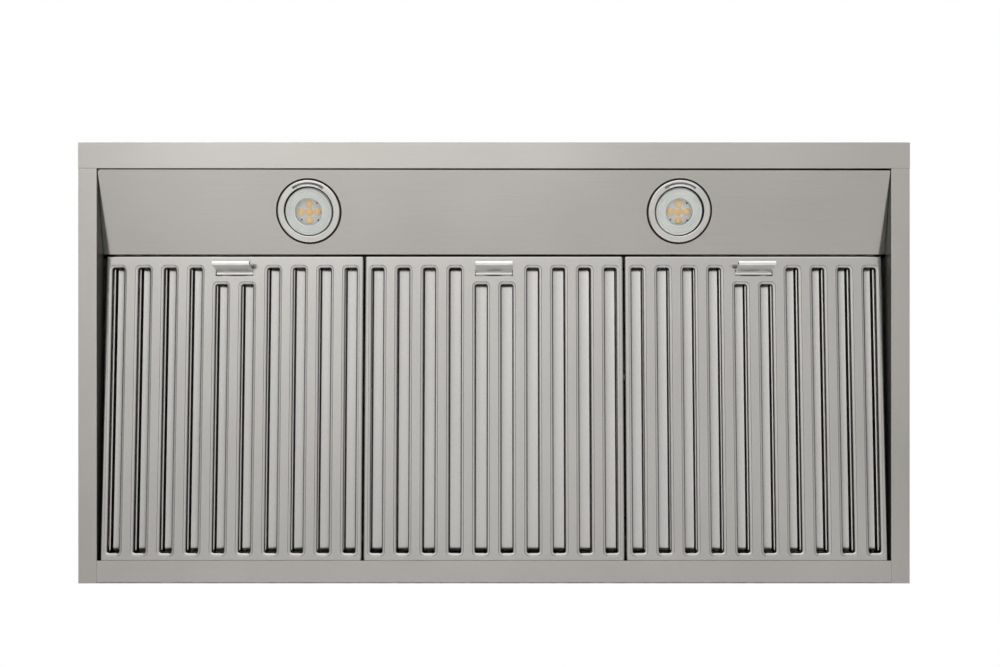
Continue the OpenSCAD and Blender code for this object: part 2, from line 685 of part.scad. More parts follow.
module capacitor() color(black_plastic) translate([box_x + 18, -sheet_t - 18, box_z + 1])
    cylinder(r = 14, h = box_size[2] - 12);

// Gland with a nut under the deck and a bore for the supply cable
module cable_gland() color(black_plastic) translate([gland_place[0], gland_place[1], deck_z]) difference() {
    union() {
        translate([0, 0, -5]) cylinder(r = gland_r + 4, h = 5, $fn = 6);
        cylinder(r = gland_r, h = sheet_t);
        translate([0, 0, sheet_t]) cylinder(r = gland_r + 3, h = 5, $fn = 6);
        translate([0, 0, sheet_t + 5]) cylinder(r = gland_r, h = 9);
    }
    translate([0, 0, -10]) cylinder(r = gland_bore_r, h = 40);
}

// Leads from the box: one under the deck to the motor, one behind the ridge to both lamps
wire_r = 1.6;
lead_z = band_h - 8;
lead_y = ridge_y + 14;
lead_x = box_x - 14;
box_hole = [box_x + 2, -sheet_t - box_size[1] / 2, box_z + box_size[2] / 2];
module wiring_loom() color(black_plastic) {
    behind = box_hole[1];
    under = deck_z - 12;
    motor_side = -bracket_x - 34;
    wire([box_hole + [0, 0, 2], [lead_x, behind, box_hole[2] + 2], [deck_half_w - 10, behind, under],
        [motor_side, behind, under], [motor_side, blower_y, under], [motor_side, blower_y, blower_z],
        [-bracket_x - 14.1, blower_y, blower_z]], wire_r);
    lamp_y = panel_front_y + lamp_along * cos(panel_tilt) - lamp_h * sin(panel_tilt);
    lamp_z = panel_front_z + lamp_along * sin(panel_tilt) + lamp_h * cos(panel_tilt);
    wire([box_hole - [0, 0, 2], [lead_x, behind, box_hole[2] - 2], [lead_x, behind, lead_z], [lead_x, lead_y, lead_z],
        [-lamp_x, lead_y, lead_z], [-lamp_x, lamp_y, lead_z], [-lamp_x, lamp_y, lamp_z]], wire_r);
    wire([[lead_x - 6, lead_y, lead_z], [lamp_x, lead_y, lead_z], [lamp_x, lamp_y, lead_z], [lamp_x, lamp_y, lamp_z]],
        wire_r);
}

// Flue covers

module cover(w, d, h) linear_extrude(h) bent([[cover_return - w / 2, 0], [-w / 2, 0], [-w / 2, -d], [w / 2, -d],
    [w / 2, 0], [w / 2 - cover_return, 0]], sheet_t);

upper_w = chimney_w - 2 * sheet_t - 2 * cover_play;
upper_d = chimney_d - sheet_t - cover_play;
upper_top = deck_top + lower_h + upper_show;
bracket_h = 30;
// Length of the bracket's arms, and distance of their screws from the wall
bracket_arm = 45;
bracket_screw_y = 30;
bracket_z = upper_top - bracket_h - 10;
bracket_half = upper_w / 2 - sheet_t;

module chimney_lower() color(steel) difference() {
    translate([0, 0, deck_top]) cover(chimney_w, chimney_d, lower_h);
    for (s = [-1, 1]) translate([s * chimney_w / 2, duct_y, deck_top + frame_h / 2])
        rotate([0, 90, 0]) screw_hole();
}

module chimney_upper() color(steel) difference() {
    translate([0, -sheet_t - cover_play, upper_top - upper_h])
        cover(upper_w, upper_d - sheet_t - cover_play, upper_h);
    for (s = [-1, 1]) translate([s * upper_w / 2, -bracket_screw_y, bracket_z + bracket_h / 2])
        rotate([0, 90, 0]) screw_hole();
}

module chimney_bracket() color(galvanised) difference() {
    translate([0, 0, bracket_z]) linear_extrude(bracket_h) bent([[-bracket_half, -bracket_arm],
        [-bracket_half, -2 * sheet_t - cover_play], [bracket_half, -2 * sheet_t - cover_play],
        [bracket_half, -bracket_arm]], -1.5);
    for (s = [-1, 1]) {
        translate([s * bracket_half, -bracket_screw_y, bracket_z + bracket_h / 2]) rotate([0, 90, 0]) screw_hole();
        translate([s * upper_hole_spacing / 2, 0, bracket_z + bracket_h / 2]) rotate([90, 0, 0])
            cylinder(r = wall_hole_r, h = 10);
    }
}

module chimney_screws() color(zinc) for (s = [-1, 1])
    translate([s * chimney_w / 2, duct_y, deck_top + frame_h / 2]) rotate([0, s * 90, 0]) screw(6);

front_fascia();
left_side();
right_side();
front_slope();
left_slope();
right_slope();
back_panel();
rear_rail();
top_deck();
flue_frame();
light_panel();
lamp_trim(-1);  // lamp_trim_left
lamp_trim(1);  // lamp_trim_right
lamp_lens(-1);  // lamp_lens_left
lamp_lens(1);  // lamp_lens_right
lamp_leds(-1);  // lamp_leds_left
lamp_leds(1);  // lamp_leds_right
lamp_body(-1);  // lamp_body_left
lamp_body(1);  // lamp_body_right
lamp_clips();
filter_face(0);  // filter_face_left
filter_face(1);  // filter_face_middle
filter_face(2);  // filter_face_right
filter_baffle(0);  // filter_baffle_left
filter_baffle(1);  // filter_baffle_middle
filter_baffle(2);  // filter_baffle_right
filter_latch(0);  // filter_latch_left
filter_latch(1);  // filter_latch_middle
filter_latch(2);  // filter_latch_right
latch_spring(0);  // latch_spring_left
latch_spring(1);  // latch_spring_middle
latch_spring(2);  // latch_spring_right
blower_scroll();
blower_side_left();
blower_side_right();
blower_wheel();
motor();
motor_shaft();
motor_bracket();
blower_screws();
duct_collar();
damper_front();
damper_rear();
damper_pin();
switch_housing();
control_board();
button(0);  // button_stop
button(1);  // button_low
button(2);  // button_medium
button(3);  // button_high
button(4);  // button_light
wiring_box();
wiring_cover();
capacitor();
cable_gland();
wiring_loom();
chimney_lower();
chimney_upper();
chimney_bracket();
chimney_screws();
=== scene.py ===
# A wall mount range hood seen from straight below: brushed stainless sheet, three baffle filters
# and two round lamps in a sloping panel. Blender's lengths are metres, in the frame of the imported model,
# and sizes are written in millimetres.
import math

import bmesh
import bpy
from mathutils import Matrix, Vector
from mathutils.geometry import intersect_point_line


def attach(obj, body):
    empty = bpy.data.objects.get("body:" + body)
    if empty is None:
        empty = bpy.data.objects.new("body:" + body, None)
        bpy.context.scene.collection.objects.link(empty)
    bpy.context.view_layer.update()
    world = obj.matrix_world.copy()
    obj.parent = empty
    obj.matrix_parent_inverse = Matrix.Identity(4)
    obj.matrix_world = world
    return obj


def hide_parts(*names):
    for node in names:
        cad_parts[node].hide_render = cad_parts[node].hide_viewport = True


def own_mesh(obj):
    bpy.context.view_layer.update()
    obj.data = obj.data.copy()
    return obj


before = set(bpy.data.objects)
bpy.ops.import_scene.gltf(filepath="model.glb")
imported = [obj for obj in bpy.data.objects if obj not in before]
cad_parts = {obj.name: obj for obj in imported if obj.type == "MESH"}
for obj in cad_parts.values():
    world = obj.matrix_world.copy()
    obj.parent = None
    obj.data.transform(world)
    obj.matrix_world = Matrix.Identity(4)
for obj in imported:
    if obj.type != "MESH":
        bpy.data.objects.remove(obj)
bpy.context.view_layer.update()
mm = 0.001


# ---- Canopy ----
# The outer shell: a front fascia, two sides and a rear rail folded from 1 mm stainless sheet, and three
# sloping sheets welded and brushed into a low pyramid above them. The sheet is brushed before it is
# folded, so the grain runs along the fascia and the sides, and up the slopes.
thickest_sheet = 1.4 * mm
facing = 0.9


def linear(code):
    """An sRGB colour, written in hex, as the linear colour that a shader takes."""
    parts = [int(code[i:i + 2], 16) / 255 for i in (0, 2, 4)]
    return [c / 12.92 if c <= 0.04045 else ((c + 0.055) / 1.055) ** 2.4 for c in parts] + [1.0]


def add(tree, kind, inputs=None, out=None, **settings):
    """Adds a node with its settings, sets or links its inputs and returns one of its outputs."""
    made = tree.nodes.new("ShaderNode" + kind)
    for name, value in settings.items():
        setattr(made, name, value)
    for name, value in (inputs or {}).items():
        if isinstance(value, bpy.types.NodeSocket):
            tree.links.new(value, made.inputs[name])
        else:
            made.inputs[name].default_value = value
    return made.outputs[out] if out else next(o for o in made.outputs if o.enabled)


def surface(name, **sockets):
    """A new material with its tree and its shader, whose sockets are set."""
    material = bpy.data.materials.new(name)
    material.use_nodes = True
    shader = material.node_tree.nodes["Principled BSDF"]
    for socket, value in sockets.items():
        shader.inputs[socket.replace("_", " ")].default_value = value
    return material, material.node_tree, shader.inputs


def brushed_stainless(name, grain, dark="b7b5b1", light="c4c1be", rough=0.2):
    """Belt-brushed stainless: scratches along the grain smear each reflection across it and leave it
    sharp along it. They are 0.25 mm wide, where real ones are 0.1 mm, so that a close view shows them."""
    material, tree, inputs = surface(name, Metallic=1.0, Anisotropic=0.7)
    place = add(tree, "TexCoord", out="Object")
    scale = [1 / ((70 if part else 0.25) * mm) for part in grain]
    along = add(tree, "Mapping", {"Vector": place, "Scale": scale})
    lines = add(tree, "TexNoise", {"Vector": along, "Scale": 1.0, "Detail": 3.0, "Roughness": 0.6})
    cloud = add(tree, "TexNoise", {"Vector": place, "Scale": 1 / (250 * mm), "Detail": 2.0})
    tone = add(tree, "Math", {0: lines, 1: cloud}, operation="ADD")
    share = add(tree, "MapRange", {"Value": tone, "From Min": 0.75, "From Max": 1.25})
    tint = add(tree, "Mix", {0: share, 6: linear(dark), 7: linear(light)}, data_type="RGBA")
    tree.links.new(tint, inputs["Base Color"])
    grit = add(tree, "MapRange", {"Value": lines, "From Min": 0.3, "From Max": 0.7,
                                  "To Min": rough - 0.02, "To Max": rough + 0.02})
    tree.links.new(grit, inputs["Roughness"])
    bump = add(tree, "Bump", {"Height": lines, "Strength": 0.1, "Distance": 0.004 * mm})
    tree.links.new(bump, inputs["Normal"])
    turned_grain = add(tree, "VectorTransform", {"Vector": grain}, vector_type="VECTOR",
                       convert_from="OBJECT", convert_to="WORLD")
    normal = add(tree, "NewGeometry", out="Normal")
    across = add(tree, "VectorMath", {0: normal, 1: turned_grain}, operation="CROSS_PRODUCT")
    tree.links.new(across, inputs["Tangent"])
    return material


def merged(cad):
    """A copy of a CAD node, open in edit mode, with its loose triangles joined into whole faces."""
    bpy.ops.object.select_all(action="DESELECT")
    piece = bpy.data.objects.new(cad + "_formed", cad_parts[cad].data.copy())
    bpy.context.collection.objects.link(piece)
    bpy.context.view_layer.objects.active = piece
    piece.select_set(True)
    if piece.data.has_custom_normals:
        bpy.ops.mesh.customdata_custom_splitnormals_clear()
    bpy.ops.object.mode_set(mode="EDIT")
    bpy.ops.mesh.select_all(action="SELECT")
    bpy.ops.mesh.remove_doubles(threshold=0.01 * mm)
    bpy.ops.mesh.dissolve_limited(angle_limit=math.radians(0.5))
    return piece


def choose(piece, kind, test):
    """In edit mode, selects the vertices, edges or faces that pass the test, and only those."""
    bpy.ops.mesh.select_mode(type=kind)
    bpy.ops.mesh.select_all(action="DESELECT")
    mesh = bmesh.from_edit_mesh(piece.data)
    for item in {"VERT": mesh.verts, "EDGE": mesh.edges, "FACE": mesh.faces}[kind]:
        item.select_set(bool(test(item)))
    mesh.select_flush_mode()
    bmesh.update_edit_mesh(piece.data)


def room(edge, face):
    """How far the face reaches from the middle of its edge: its own breadth, or less where it is notched."""
    a, b = (v.co for v in edge.verts)
    middle, way = (a + b) / 2, (b - a).normalized()
    reach = 2 * face.calc_area() / face.calc_perimeter()
    for other in face.edges:
        c, d = (v.co for v in other.verts)
        if abs(way.dot((d - c).normalized())) > 0.9 and not {*other.verts} & {*edge.verts}:
            share = intersect_point_line(middle, c, d)[1]
            reach = min(reach, (c.lerp(d, min(max(share, 0), 1)) - middle).length)
    return reach


def fold(edge, convex):
    """True for an edge where the sheet is folded, and not cut: a cut face is only as broad as the sheet."""
    return (len(edge.link_faces) == 2 and edge.calc_face_angle() > math.radians(30)
            and edge.is_convex == convex and min(room(edge, f) for f in edge.link_faces) > thickest_sheet)


def rounded(piece, test, radius):
    """Rounds the edges that pass the test."""
    choose(piece, "EDGE", test)
    bpy.ops.mesh.bevel(offset=radius, offset_type="OFFSET", segments=4, profile=0.5, affect="EDGES",
                       loop_slide=False)


def fitted(piece, material, body, slot, *cad, smooth=35, second=None, where=None):
    """Shades the finished piece, gives it its material and body, and hides the CAD nodes that it stands for;
    its slot is not used. Faces that pass the test get the second material."""
    bpy.ops.object.mode_set(mode="OBJECT")
    bpy.ops.object.shade_smooth_by_angle(angle=math.radians(smooth))
    even = piece.modifiers.new("even shading", "WEIGHTED_NORMAL")
    even.keep_sharp = True
    even.weight = 90
    bpy.ops.object.modifier_apply(modifier=even.name)
    piece.data.materials.clear()
    piece.data.materials.append(material)
    if second:
        piece.data.materials.append(second)
        for face in piece.data.polygons:
            face.material_index = int(where(face))
    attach(piece, body)
    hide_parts(*cad)
    return piece


def folded_sheet(cad, material, slot="stainless", body="hood", bend=0.9 * mm, inside=0.3 * mm, **finish):
    """A sheet piece with its folds rounded outside and inside."""
    piece = merged(cad)
    if bend:
        rounded(piece, lambda e: fold(e, True), bend)
        rounded(piece, lambda e: fold(e, False), inside)
    return fitted(piece, material, body, slot, cad, **finish)


# The brushing draws each reflection out across the grain. The insides of the sides get a dark steel colour,
# painted shade, so that they read as a dark gap beside the filters.
grain_x = brushed_stainless("stainless brushed along the width", (1, 0, 0))
grain_y = brushed_stainless("stainless brushed along the depth", (0, 1, 0))
grain_up_front = brushed_stainless("stainless brushed up the front slope", (0, 1, 1))
grain_up_side = brushed_stainless("stainless brushed up the side slopes", (1, 0, 1))
side_painted_shade_steel = brushed_stainless("dark stainless painting shade inside the side sheets", (0, 1, 0), "5c5e5b", "6a6c69", 0.35)

folded_sheet("front_fascia", grain_x)
# The faces that look into the hood take the dark steel: painted shade.
folded_sheet("left_side", grain_y, second=side_painted_shade_steel, where=lambda face: face.normal.x > facing)
folded_sheet("right_side", grain_y, second=side_painted_shade_steel, where=lambda face: face.normal.x < -facing)
folded_sheet("rear_rail", grain_x)
folded_sheet("front_slope", grain_up_front, bend=0)
folded_sheet("left_slope", grain_up_side, bend=0)
folded_sheet("right_slope", grain_up_side, bend=0)


# ---- Back panel, top deck and flue frame ----
# Hidden sheet that carries the weight: the back with its wall holes, the deck with the duct hole, and the
# frame welded on it that the flue cover fits over. Hot-dip galvanised steel, punched and never painted.


def galvanised_steel(name):
    """Hot-dip zinc: grey spangles of 3 to 8 mm, each with its own tone and dullness."""
    material, tree, inputs = surface(name, Metallic=1.0)
    place = add(tree, "TexCoord", out="Object")
    cells = add(tree, "TexVoronoi", {"Vector": place, "Scale": 1 / (6 * mm)}, out="Color")
    grey = add(tree, "SeparateColor", {"Color": cells})
    cloud = add(tree, "TexNoise", {"Vector": place, "Scale": 1 / (40 * mm), "Detail": 3.0})
    tone = add(tree, "Math", {0: grey, 1: cloud}, operation="ADD")
    share = add(tree, "MapRange", {"Value": tone, "From Min": 0.3, "From Max": 1.6})
    tint = add(tree, "Mix", {0: share, 6: linear("9b9fa2"), 7: linear("c3c6c8")}, data_type="RGBA")
    tree.links.new(tint, inputs["Base Color"])
    dull = add(tree, "MapRange", {"Value": grey, "To Min": 0.36, "To Max": 0.52})
    tree.links.new(dull, inputs["Roughness"])
    bump = add(tree, "Bump", {"Height": cloud, "Strength": 0.15, "Distance": 0.05 * mm})
    tree.links.new(bump, inputs["Normal"])
    return material


zinc_sheet = galvanised_steel("hot-dip galvanised sheet")
folded_sheet("back_panel", zinc_sheet, slot="galvanised")
folded_sheet("top_deck", zinc_sheet, slot="galvanised")
folded_sheet("flue_frame", zinc_sheet, slot="galvanised")


# ---- Light panel ----
# The sloping front part of the underside: one stainless sheet with a lip behind the front flange, two
# round cut-outs for the lamps, and an upright ridge with three slots that the filter latches enter.
# Its folds are given a near-white steel colour, a painted highlight, so that they stand out as light lines.
fold_painted_highlight = brushed_stainless("near-white stainless painting highlights on the folds", (1, 0, 0), "f0efee", "faf9f8")


def folded_face(face):
    """True on the rounded folds along the front and the rear of the panel's underside, which get the painted
    highlight.
    """
    return 0.25 < abs(face.normal.y) < 0.85 and face.normal.z < -0.4


folded_sheet("light_panel", grain_x, bend=1.8 * mm, second=fold_painted_highlight, where=folded_face)


# ---- Lamps ----
# Two recessed lamps. A die-cast trim ring with a satin nickel coat sits on a black foam seal and holds
# a frosted polycarbonate lens, clear in the middle, where five amber diodes show on a white board.
# A ribbed heat sink stands on the lens, and two spring clips press down on the panel behind it.
panel_front, panel_lift, panel_rise, panel_depth = -455, 1.2, 15.8, 92
panel_slope = math.atan2(panel_rise, panel_depth)
lamp_x, lamp_up_slope = 205.3, 45.673
groove, arc_ends, led_ring = (28.8, 30.4), -25.4, 9.1


def at(x, y, z, turn=0, axis="X"):
    """A place, in mm, and a turn about one axis."""
    return Matrix.Translation((x * mm, y * mm, z * mm)) @ Matrix.Rotation(turn, 4, axis)


panel_foot = at(0, panel_front, panel_lift, panel_slope)
lamp_places = {"left": panel_foot @ at(-lamp_x, lamp_up_slope, 0),
               "right": panel_foot @ at(lamp_x, lamp_up_slope, 0)}


def fresh(name):
    """An empty piece with its origin at the origin, open in edit mode."""
    bpy.ops.object.select_all(action="DESELECT")
    piece = bpy.data.objects.new(name, bpy.data.meshes.new(name))
    bpy.context.collection.objects.link(piece)
    bpy.context.view_layer.objects.active = piece
    piece.select_set(True)
    bpy.ops.object.mode_set(mode="EDIT")
    return piece


def drawn(name, points):
    """Starts a piece in edit mode: one vertex, extruded from point to point."""
    piece = fresh(name)
    bpy.ops.mesh.select_mode(type="VERT")
    bpy.ops.mesh.primitive_plane_add(size=mm)
    bpy.ops.mesh.merge(type="CENTER")
    points = [Vector(p) * mm for p in points]
    bpy.ops.transform.translate(value=points[0])
    for a, b in zip(points, points[1:]):
        bpy.ops.mesh.extrude_region_move(TRANSFORM_OT_translate={"value": b - a})
    return piece


def turned(name, profile, steps=64):
    """A round piece: its profile, as radius and height in mm, is spun once round Z."""
    piece = drawn(name, [(r, 0, z) for r, z in profile])
    bpy.ops.mesh.select_all(action="SELECT")
    bpy.ops.mesh.spin(steps=steps, angle=2 * math.pi, center=(0, 0, 0), axis=(0, 0, 1))
    bpy.ops.mesh.select_all(action="SELECT")
    bpy.ops.mesh.remove_doubles(threshold=0.005 * mm)
    bpy.ops.mesh.normals_make_consistent(inside=False)
    return piece


def done(piece, **modifiers):
    """Leaves edit mode and applies modifiers given as KIND={setting: value}."""
    bpy.ops.object.mode_set(mode="OBJECT")
    for kind, settings in modifiers.items():
        modifier = piece.modifiers.new(kind, kind)
        for key, value in settings.items():
            setattr(modifier, key, value)
        bpy.ops.object.modifier_apply(modifier=modifier.name)
    return piece


def cut_by(piece, cutter):
    """Cuts the cutter's shape out of the piece and removes the cutter."""
    bpy.ops.object.select_all(action="DESELECT")
    piece.select_set(True)
    bpy.context.view_layer.objects.active = piece
    done(piece, BOOLEAN={"object": cutter, "operation": "DIFFERENCE", "solver": "EXACT"})
    bpy.data.objects.remove(cutter)


def copied(master, name, place):
    """A copy of a finished shape with a mesh of its own, put in its place, active and selected."""
    piece = bpy.data.objects.new(name, master.data.copy())
    bpy.context.collection.objects.link(piece)
    bpy.ops.object.select_all(action="DESELECT")
    bpy.context.view_layer.objects.active = piece
    piece.select_set(True)
    piece.matrix_world = place
    bpy.ops.object.transform_apply(location=True, rotation=True, scale=True)
    return piece


def placed(master, name, place, *dress, **finish):
    """A copy in its place, fitted with its material and body, with its CAD nodes hidden; its slot is not
    used.
    """
    return fitted(copied(master, name, place), *dress, **finish)


def scrap(*masters):
    """Removes the shapes that pieces were copied from."""
    for master in masters:
        bpy.data.objects.remove(master)


def joined(name, pieces):
    """One piece made of several finished shapes."""
    bpy.ops.object.select_all(action="DESELECT")
    for piece in pieces:
        piece.select_set(True)
    bpy.context.view_layer.objects.active = pieces[0]
    bpy.ops.object.join()
    pieces[0].name = name
    return pieces[0]


def arc(centre_r, centre_z, radius, start, end, steps=5):
    """Points of a round stretch of an outline, between two directions in degrees."""
    turns = [math.radians(start + (end - start) * k / steps) for k in range(steps + 1)]
    return [(centre_r + radius * math.cos(a), centre_z + radius * math.sin(a)) for a in turns]


def coated(name, dark, light, rough, grain=0.35, metallic=1.0, bump_height=0.01, **sockets):
    """A satin coat or moulded skin: fine grain of the size given in mm, even from all sides."""
    material, tree, inputs = surface(name, Metallic=metallic, **sockets)
    place = add(tree, "TexCoord", out="Object")
    speck = add(tree, "TexNoise", {"Vector": place, "Scale": 1 / (grain * mm), "Detail": 2.0})
    cloud = add(tree, "TexNoise", {"Vector": place, "Scale": 1 / (30 * mm), "Detail": 2.0})
    tone = add(tree, "Math", {0: speck, 1: cloud}, operation="ADD")
    share = add(tree, "MapRange", {"Value": tone, "From Min": 0.7, "From Max": 1.3})
    tint = add(tree, "Mix", {0: share, 6: linear(dark), 7: linear(light)}, data_type="RGBA")
    tree.links.new(tint, inputs["Base Color"])
    dull = add(tree, "MapRange", {"Value": cloud, "From Min": 0.3, "From Max": 0.7,
                                  "To Min": rough - 0.04, "To Max": rough + 0.04})
    tree.links.new(dull, inputs["Roughness"])
    bump = add(tree, "Bump", {"Height": speck, "Strength": 0.3, "Distance": bump_height * mm})
    tree.links.new(bump, inputs["Normal"])
    return material


# The nickel glows evenly and the frosted lens spreads the light over its ridges. The black foam is a black
# ring at the trim's edge, and painted shade in the trim's slit and in the gap round the lens.
# The window and the domes over the diodes are clear and glossy, and show the amber under them.
nickel = coated("satin nickel coat on die-cast aluminium", "cfcdca", "dcdad7", 0.22)
foam_seal_and_painted_shade = coated("black foam seal and painted shade in the lamp gaps", "050505", "0b0b0b", 0.9, grain=0.6, metallic=0.0)
frost = coated("frosted polycarbonate", "c9cdca", "d8dbd8", 0.42, grain=0.5, metallic=0.0,
               Subsurface_Weight=0.25, Subsurface_Radius=(0.004, 0.004, 0.004), IOR=1.58)
clear = coated("clear polycarbonate window", "f7f8f8", "ffffff", 0.06, grain=2.0, metallic=0.0,
               Transmission_Weight=1.0, IOR=1.2, bump_height=0.002)
board_white = coated("white solder mask", "dcdfdd", "e8eae8", 0.45, metallic=0.0)
phosphor = coated("amber phosphor under silicone", "ffd08a", "ffe4b4", 0.25, grain=1.5, metallic=0.0)
dome = coated("silicone dome", "fccf8c", "ffe0ac", 0.12, grain=2.0, metallic=0.0, Coat_Weight=0.5)
screw_zinc = coated("bright zinc plate", "a9aaa8", "c0c0be", 0.28)
heat_sink = coated("extruded aluminium", "a9abad", "bfc0c2", 0.38)
spring_steel = coated("blued spring steel", "6f7277", "868a90", 0.3)
contact_dark = coated("dark solder joint", "50575a", "5f6668", 0.35, grain=1.0)

trim = done(turned("lamp_trim_master", [(27.2, -0.4)] + arc(28.2, -1.0, 1.0, 180, 270)
                   + arc(32.9, -0.4, 1.6, 270, 360)
                   + [(34.5, 0.0), (30.5, 0.0), (30.5, 8.0), (27.2, 8.0), (27.2, -0.4)], steps=96))


def front_arc(name, inner, outer, low, high):
    """A curved bar over the front third of a ring, between two radii and two heights."""
    bar = turned(name, [(inner, low), (outer, low), (outer, high), (inner, high), (inner, low)], steps=96)
    choose(bar, "FACE", lambda f: f.calc_center_median().y > arc_ends * mm)
    bpy.ops.mesh.delete(type="FACE")
    bpy.ops.mesh.fill_holes(sides=8)
    bpy.ops.mesh.select_all(action="SELECT")
    bpy.ops.mesh.normals_make_consistent(inside=False)
    return done(bar)


cut_by(trim, front_arc("groove_cutter", groove[0], groove[1], -2.3, -0.5))
# Black foam fills the trim's slit and rings the lens: painted shade, so that the slit and the gap read dark.
shade_foam = joined("lamp_gasket_master", [
    front_arc("lamp_gasket_strip", groove[0] + 0.02, groove[1] - 0.02, -1.8, -0.6),
    done(turned("lamp_gasket_ring", [(25.85, 1.2), (27.15, 1.2), (27.15, 2.0), (25.85, 2.0), (25.85, 1.2)],
                steps=96))])
seal = done(turned("lamp_seal_master", [(34.1, 0.0), (34.1, -0.3), (35.5, -0.9), (36.0, -0.8), (36.3, -0.5),
                                        (36.3, 0.0), (34.1, 0.0)], steps=96))

lens_play = at(-0.3, 0.7, 0)
ridges = [(15.0, -0.25)]
for ring in range(4):
    r = 15.5 + 2.5 * ring
    ridges += [(r, -0.5), (r + 0.9, -0.6), (r + 1.8, -0.5), (r + 2.1, -0.1 - 0.3 * ring), (r + 2.4, -0.1)]
lens = done(turned("lamp_lens_master", [(15.0, 0.9)] + ridges
                   + [(25.6, 0.2), (25.8, 0.9), (25.8, 2.0), (15.0, 2.0), (15.0, 0.9)], steps=96))
window = done(turned("lamp_window_master", [(0, 0.55), (12.0, 0.6), (14.9, 0.75), (14.9, 1.6), (0, 1.6)]))
board = done(turned("lamp_board_master", [(0, 3.8), (16.6, 3.8), (17, 4.2), (17, 5.4), (0, 5.4)]))
led = done(turned("lamp_led_master", [(0, 2.45), (1.7, 2.57), (3.1, 3.0), (4.0, 3.5), (4.3, 3.8), (0, 3.8)],
                  steps=32))
spot = done(turned("lamp_phosphor_master", [(0, 2.38), (1.9, 2.5), (3.3, 3.0), (0, 3.1)], steps=24))
pin = done(turned("lamp_pin_master", [(0, 3.2), (0.7, 3.2), (1.0, 3.5), (1.0, 3.8), (0, 3.8)], steps=20))

led_spots = [(0, 0), (led_ring, 0), (0, led_ring), (-led_ring, 0), (0, -led_ring)]
pin_spots = [(9.8, 9.2), (-8.6, 8.6), (9.0, -9.6)]
for side, seat in lamp_places.items():
    ring, lens_cad, leds_cad = "lamp_trim_" + side, "lamp_lens_" + side, "lamp_leds_" + side
    placed(trim, ring + "_ring", seat, nickel, "hood", "trim_metal", ring)
    placed(seal, "lamp_seal_" + side, seat, foam_seal_and_painted_shade, "hood", "black_plastic", ring)
    placed(shade_foam, "lamp_gasket_" + side, seat, foam_seal_and_painted_shade, "hood", "black_plastic", ring)
    place = seat @ lens_play
    placed(lens, lens_cad + "_frosted", place, frost, "hood", "lens", lens_cad)
    placed(window, lens_cad + "_window", place, clear, "hood", "lens", lens_cad)
    placed(board, "lamp_board_" + side, place, board_white, "hood", "diode", leds_cad)
    for n, (x, y) in enumerate(led_spots):
        placed(led, f"lamp_led_{side}_{n}", place @ at(x, y, 0), dome, "hood", "diode", leds_cad)
        placed(spot, f"lamp_phosphor_{side}_{n}", place @ at(x, y, 0), phosphor, "hood", "diode", leds_cad)
    for n, (x, y) in enumerate(pin_spots):
        placed(pin, f"lamp_pin_{side}_{n}", place @ at(x, y, 0), contact_dark, "hood", "zinc", leds_cad)
    folded_sheet("lamp_body_" + side, heat_sink, "heat_sink", bend=0)
scrap(trim, seal, shade_foam, lens, window, board, led, spot, pin)
folded_sheet("lamp_clips", spring_steel, "zinc", bend=1.2 * mm, inside=0.5 * mm)


# ---- Baffle filters ----
# Each filter is a shallow tray of bright stainless with ten slots, whose edges are rolled in, and a rack
# of channels spot-welded behind them. Grease in the air hits the channels and runs down into the tray.
tray_half, tray_front, tray_rear, tray_top = 144.0, -336.7, 12.0, 20.0
filter_pitch, pivot_y, filter_rise = 289.967, -25, 16.5
filter_slope = math.asin(filter_rise / (tray_rear - tray_front))
pivot_z = 1.3 + tray_rear * math.sin(filter_slope)
filter_places = {side: at(n * filter_pitch, pivot_y, pivot_z, -filter_slope)
                 for side, n in (("left", -1), ("middle", 0), ("right", 1))}
tray_roll, hem_bend, tray_hem = 2.2, 1.2, 5.0
slot_half, slot_corner, slot_roll, slot_rim = 6.35, 2.0, 2.1, 3.0
slot_crease, slot_dip = 0.4, 0.9
slot_front, slot_rear, latch_room = tray_front + 13.5, -7.8, 18.5
slot_pitch = 28.9
pull_top = slot_front + latch_room / 4
latch_window = (pull_top - 2.5, pull_top + 4.5)
window_half, pull_half, tongue_half, tongue_z = 21, 20.5, 16.5, 1.7
spring_length, spring_squashed, spring_z = 18, 14, 4.1
spring_seat, spring_turns = pull_top + 4.2, 11
# Slot rims whose faces tilt between these limits get the painted shade, further round on the outer side.
shade_least, shade_least_outer, shade_most, tray_margin = -0.55, -0.82, 0.3, 5

# Trays and channels mirror the room softly. The flanks of the channels, the steep rims of the slots and
# the tongues of the latches get a near-black steel, painted shade, so that each slot is edged in black.
tray_steel = brushed_stainless("bright stainless of the filter trays", (0, 1, 0), "b9b7b5", "c6c4c2", 0.16)
# The channels' stainless is painted lighter than the trays', a painted highlight that brightens the webs.
rack_steel_with_painted_highlight = brushed_stainless("bright stainless of the baffle channels", (0, 1, 0), "c9c8c7", "d6d5d4", 0.2)
painted_shade_steel = brushed_stainless("dull rolled stainless on the flanks of the channels", (0, 1, 0),
                                "222221", "2b2b2a", 0.3)


def outline(x0, y0, x1, y1, z=0, radius=0):
    """Adds a flat face with rounded corners to the piece in edit mode, and leaves it selected."""
    centre = ((x0 + x1) / 2 * mm, (y0 + y1) / 2 * mm, z * mm)
    bpy.ops.mesh.primitive_plane_add(size=mm, location=centre)
    bpy.ops.transform.resize(value=(x1 - x0, y1 - y0, 1), center_override=centre)
    if radius:
        bpy.ops.mesh.bevel(offset=radius * mm, segments=5, affect="VERTICES")


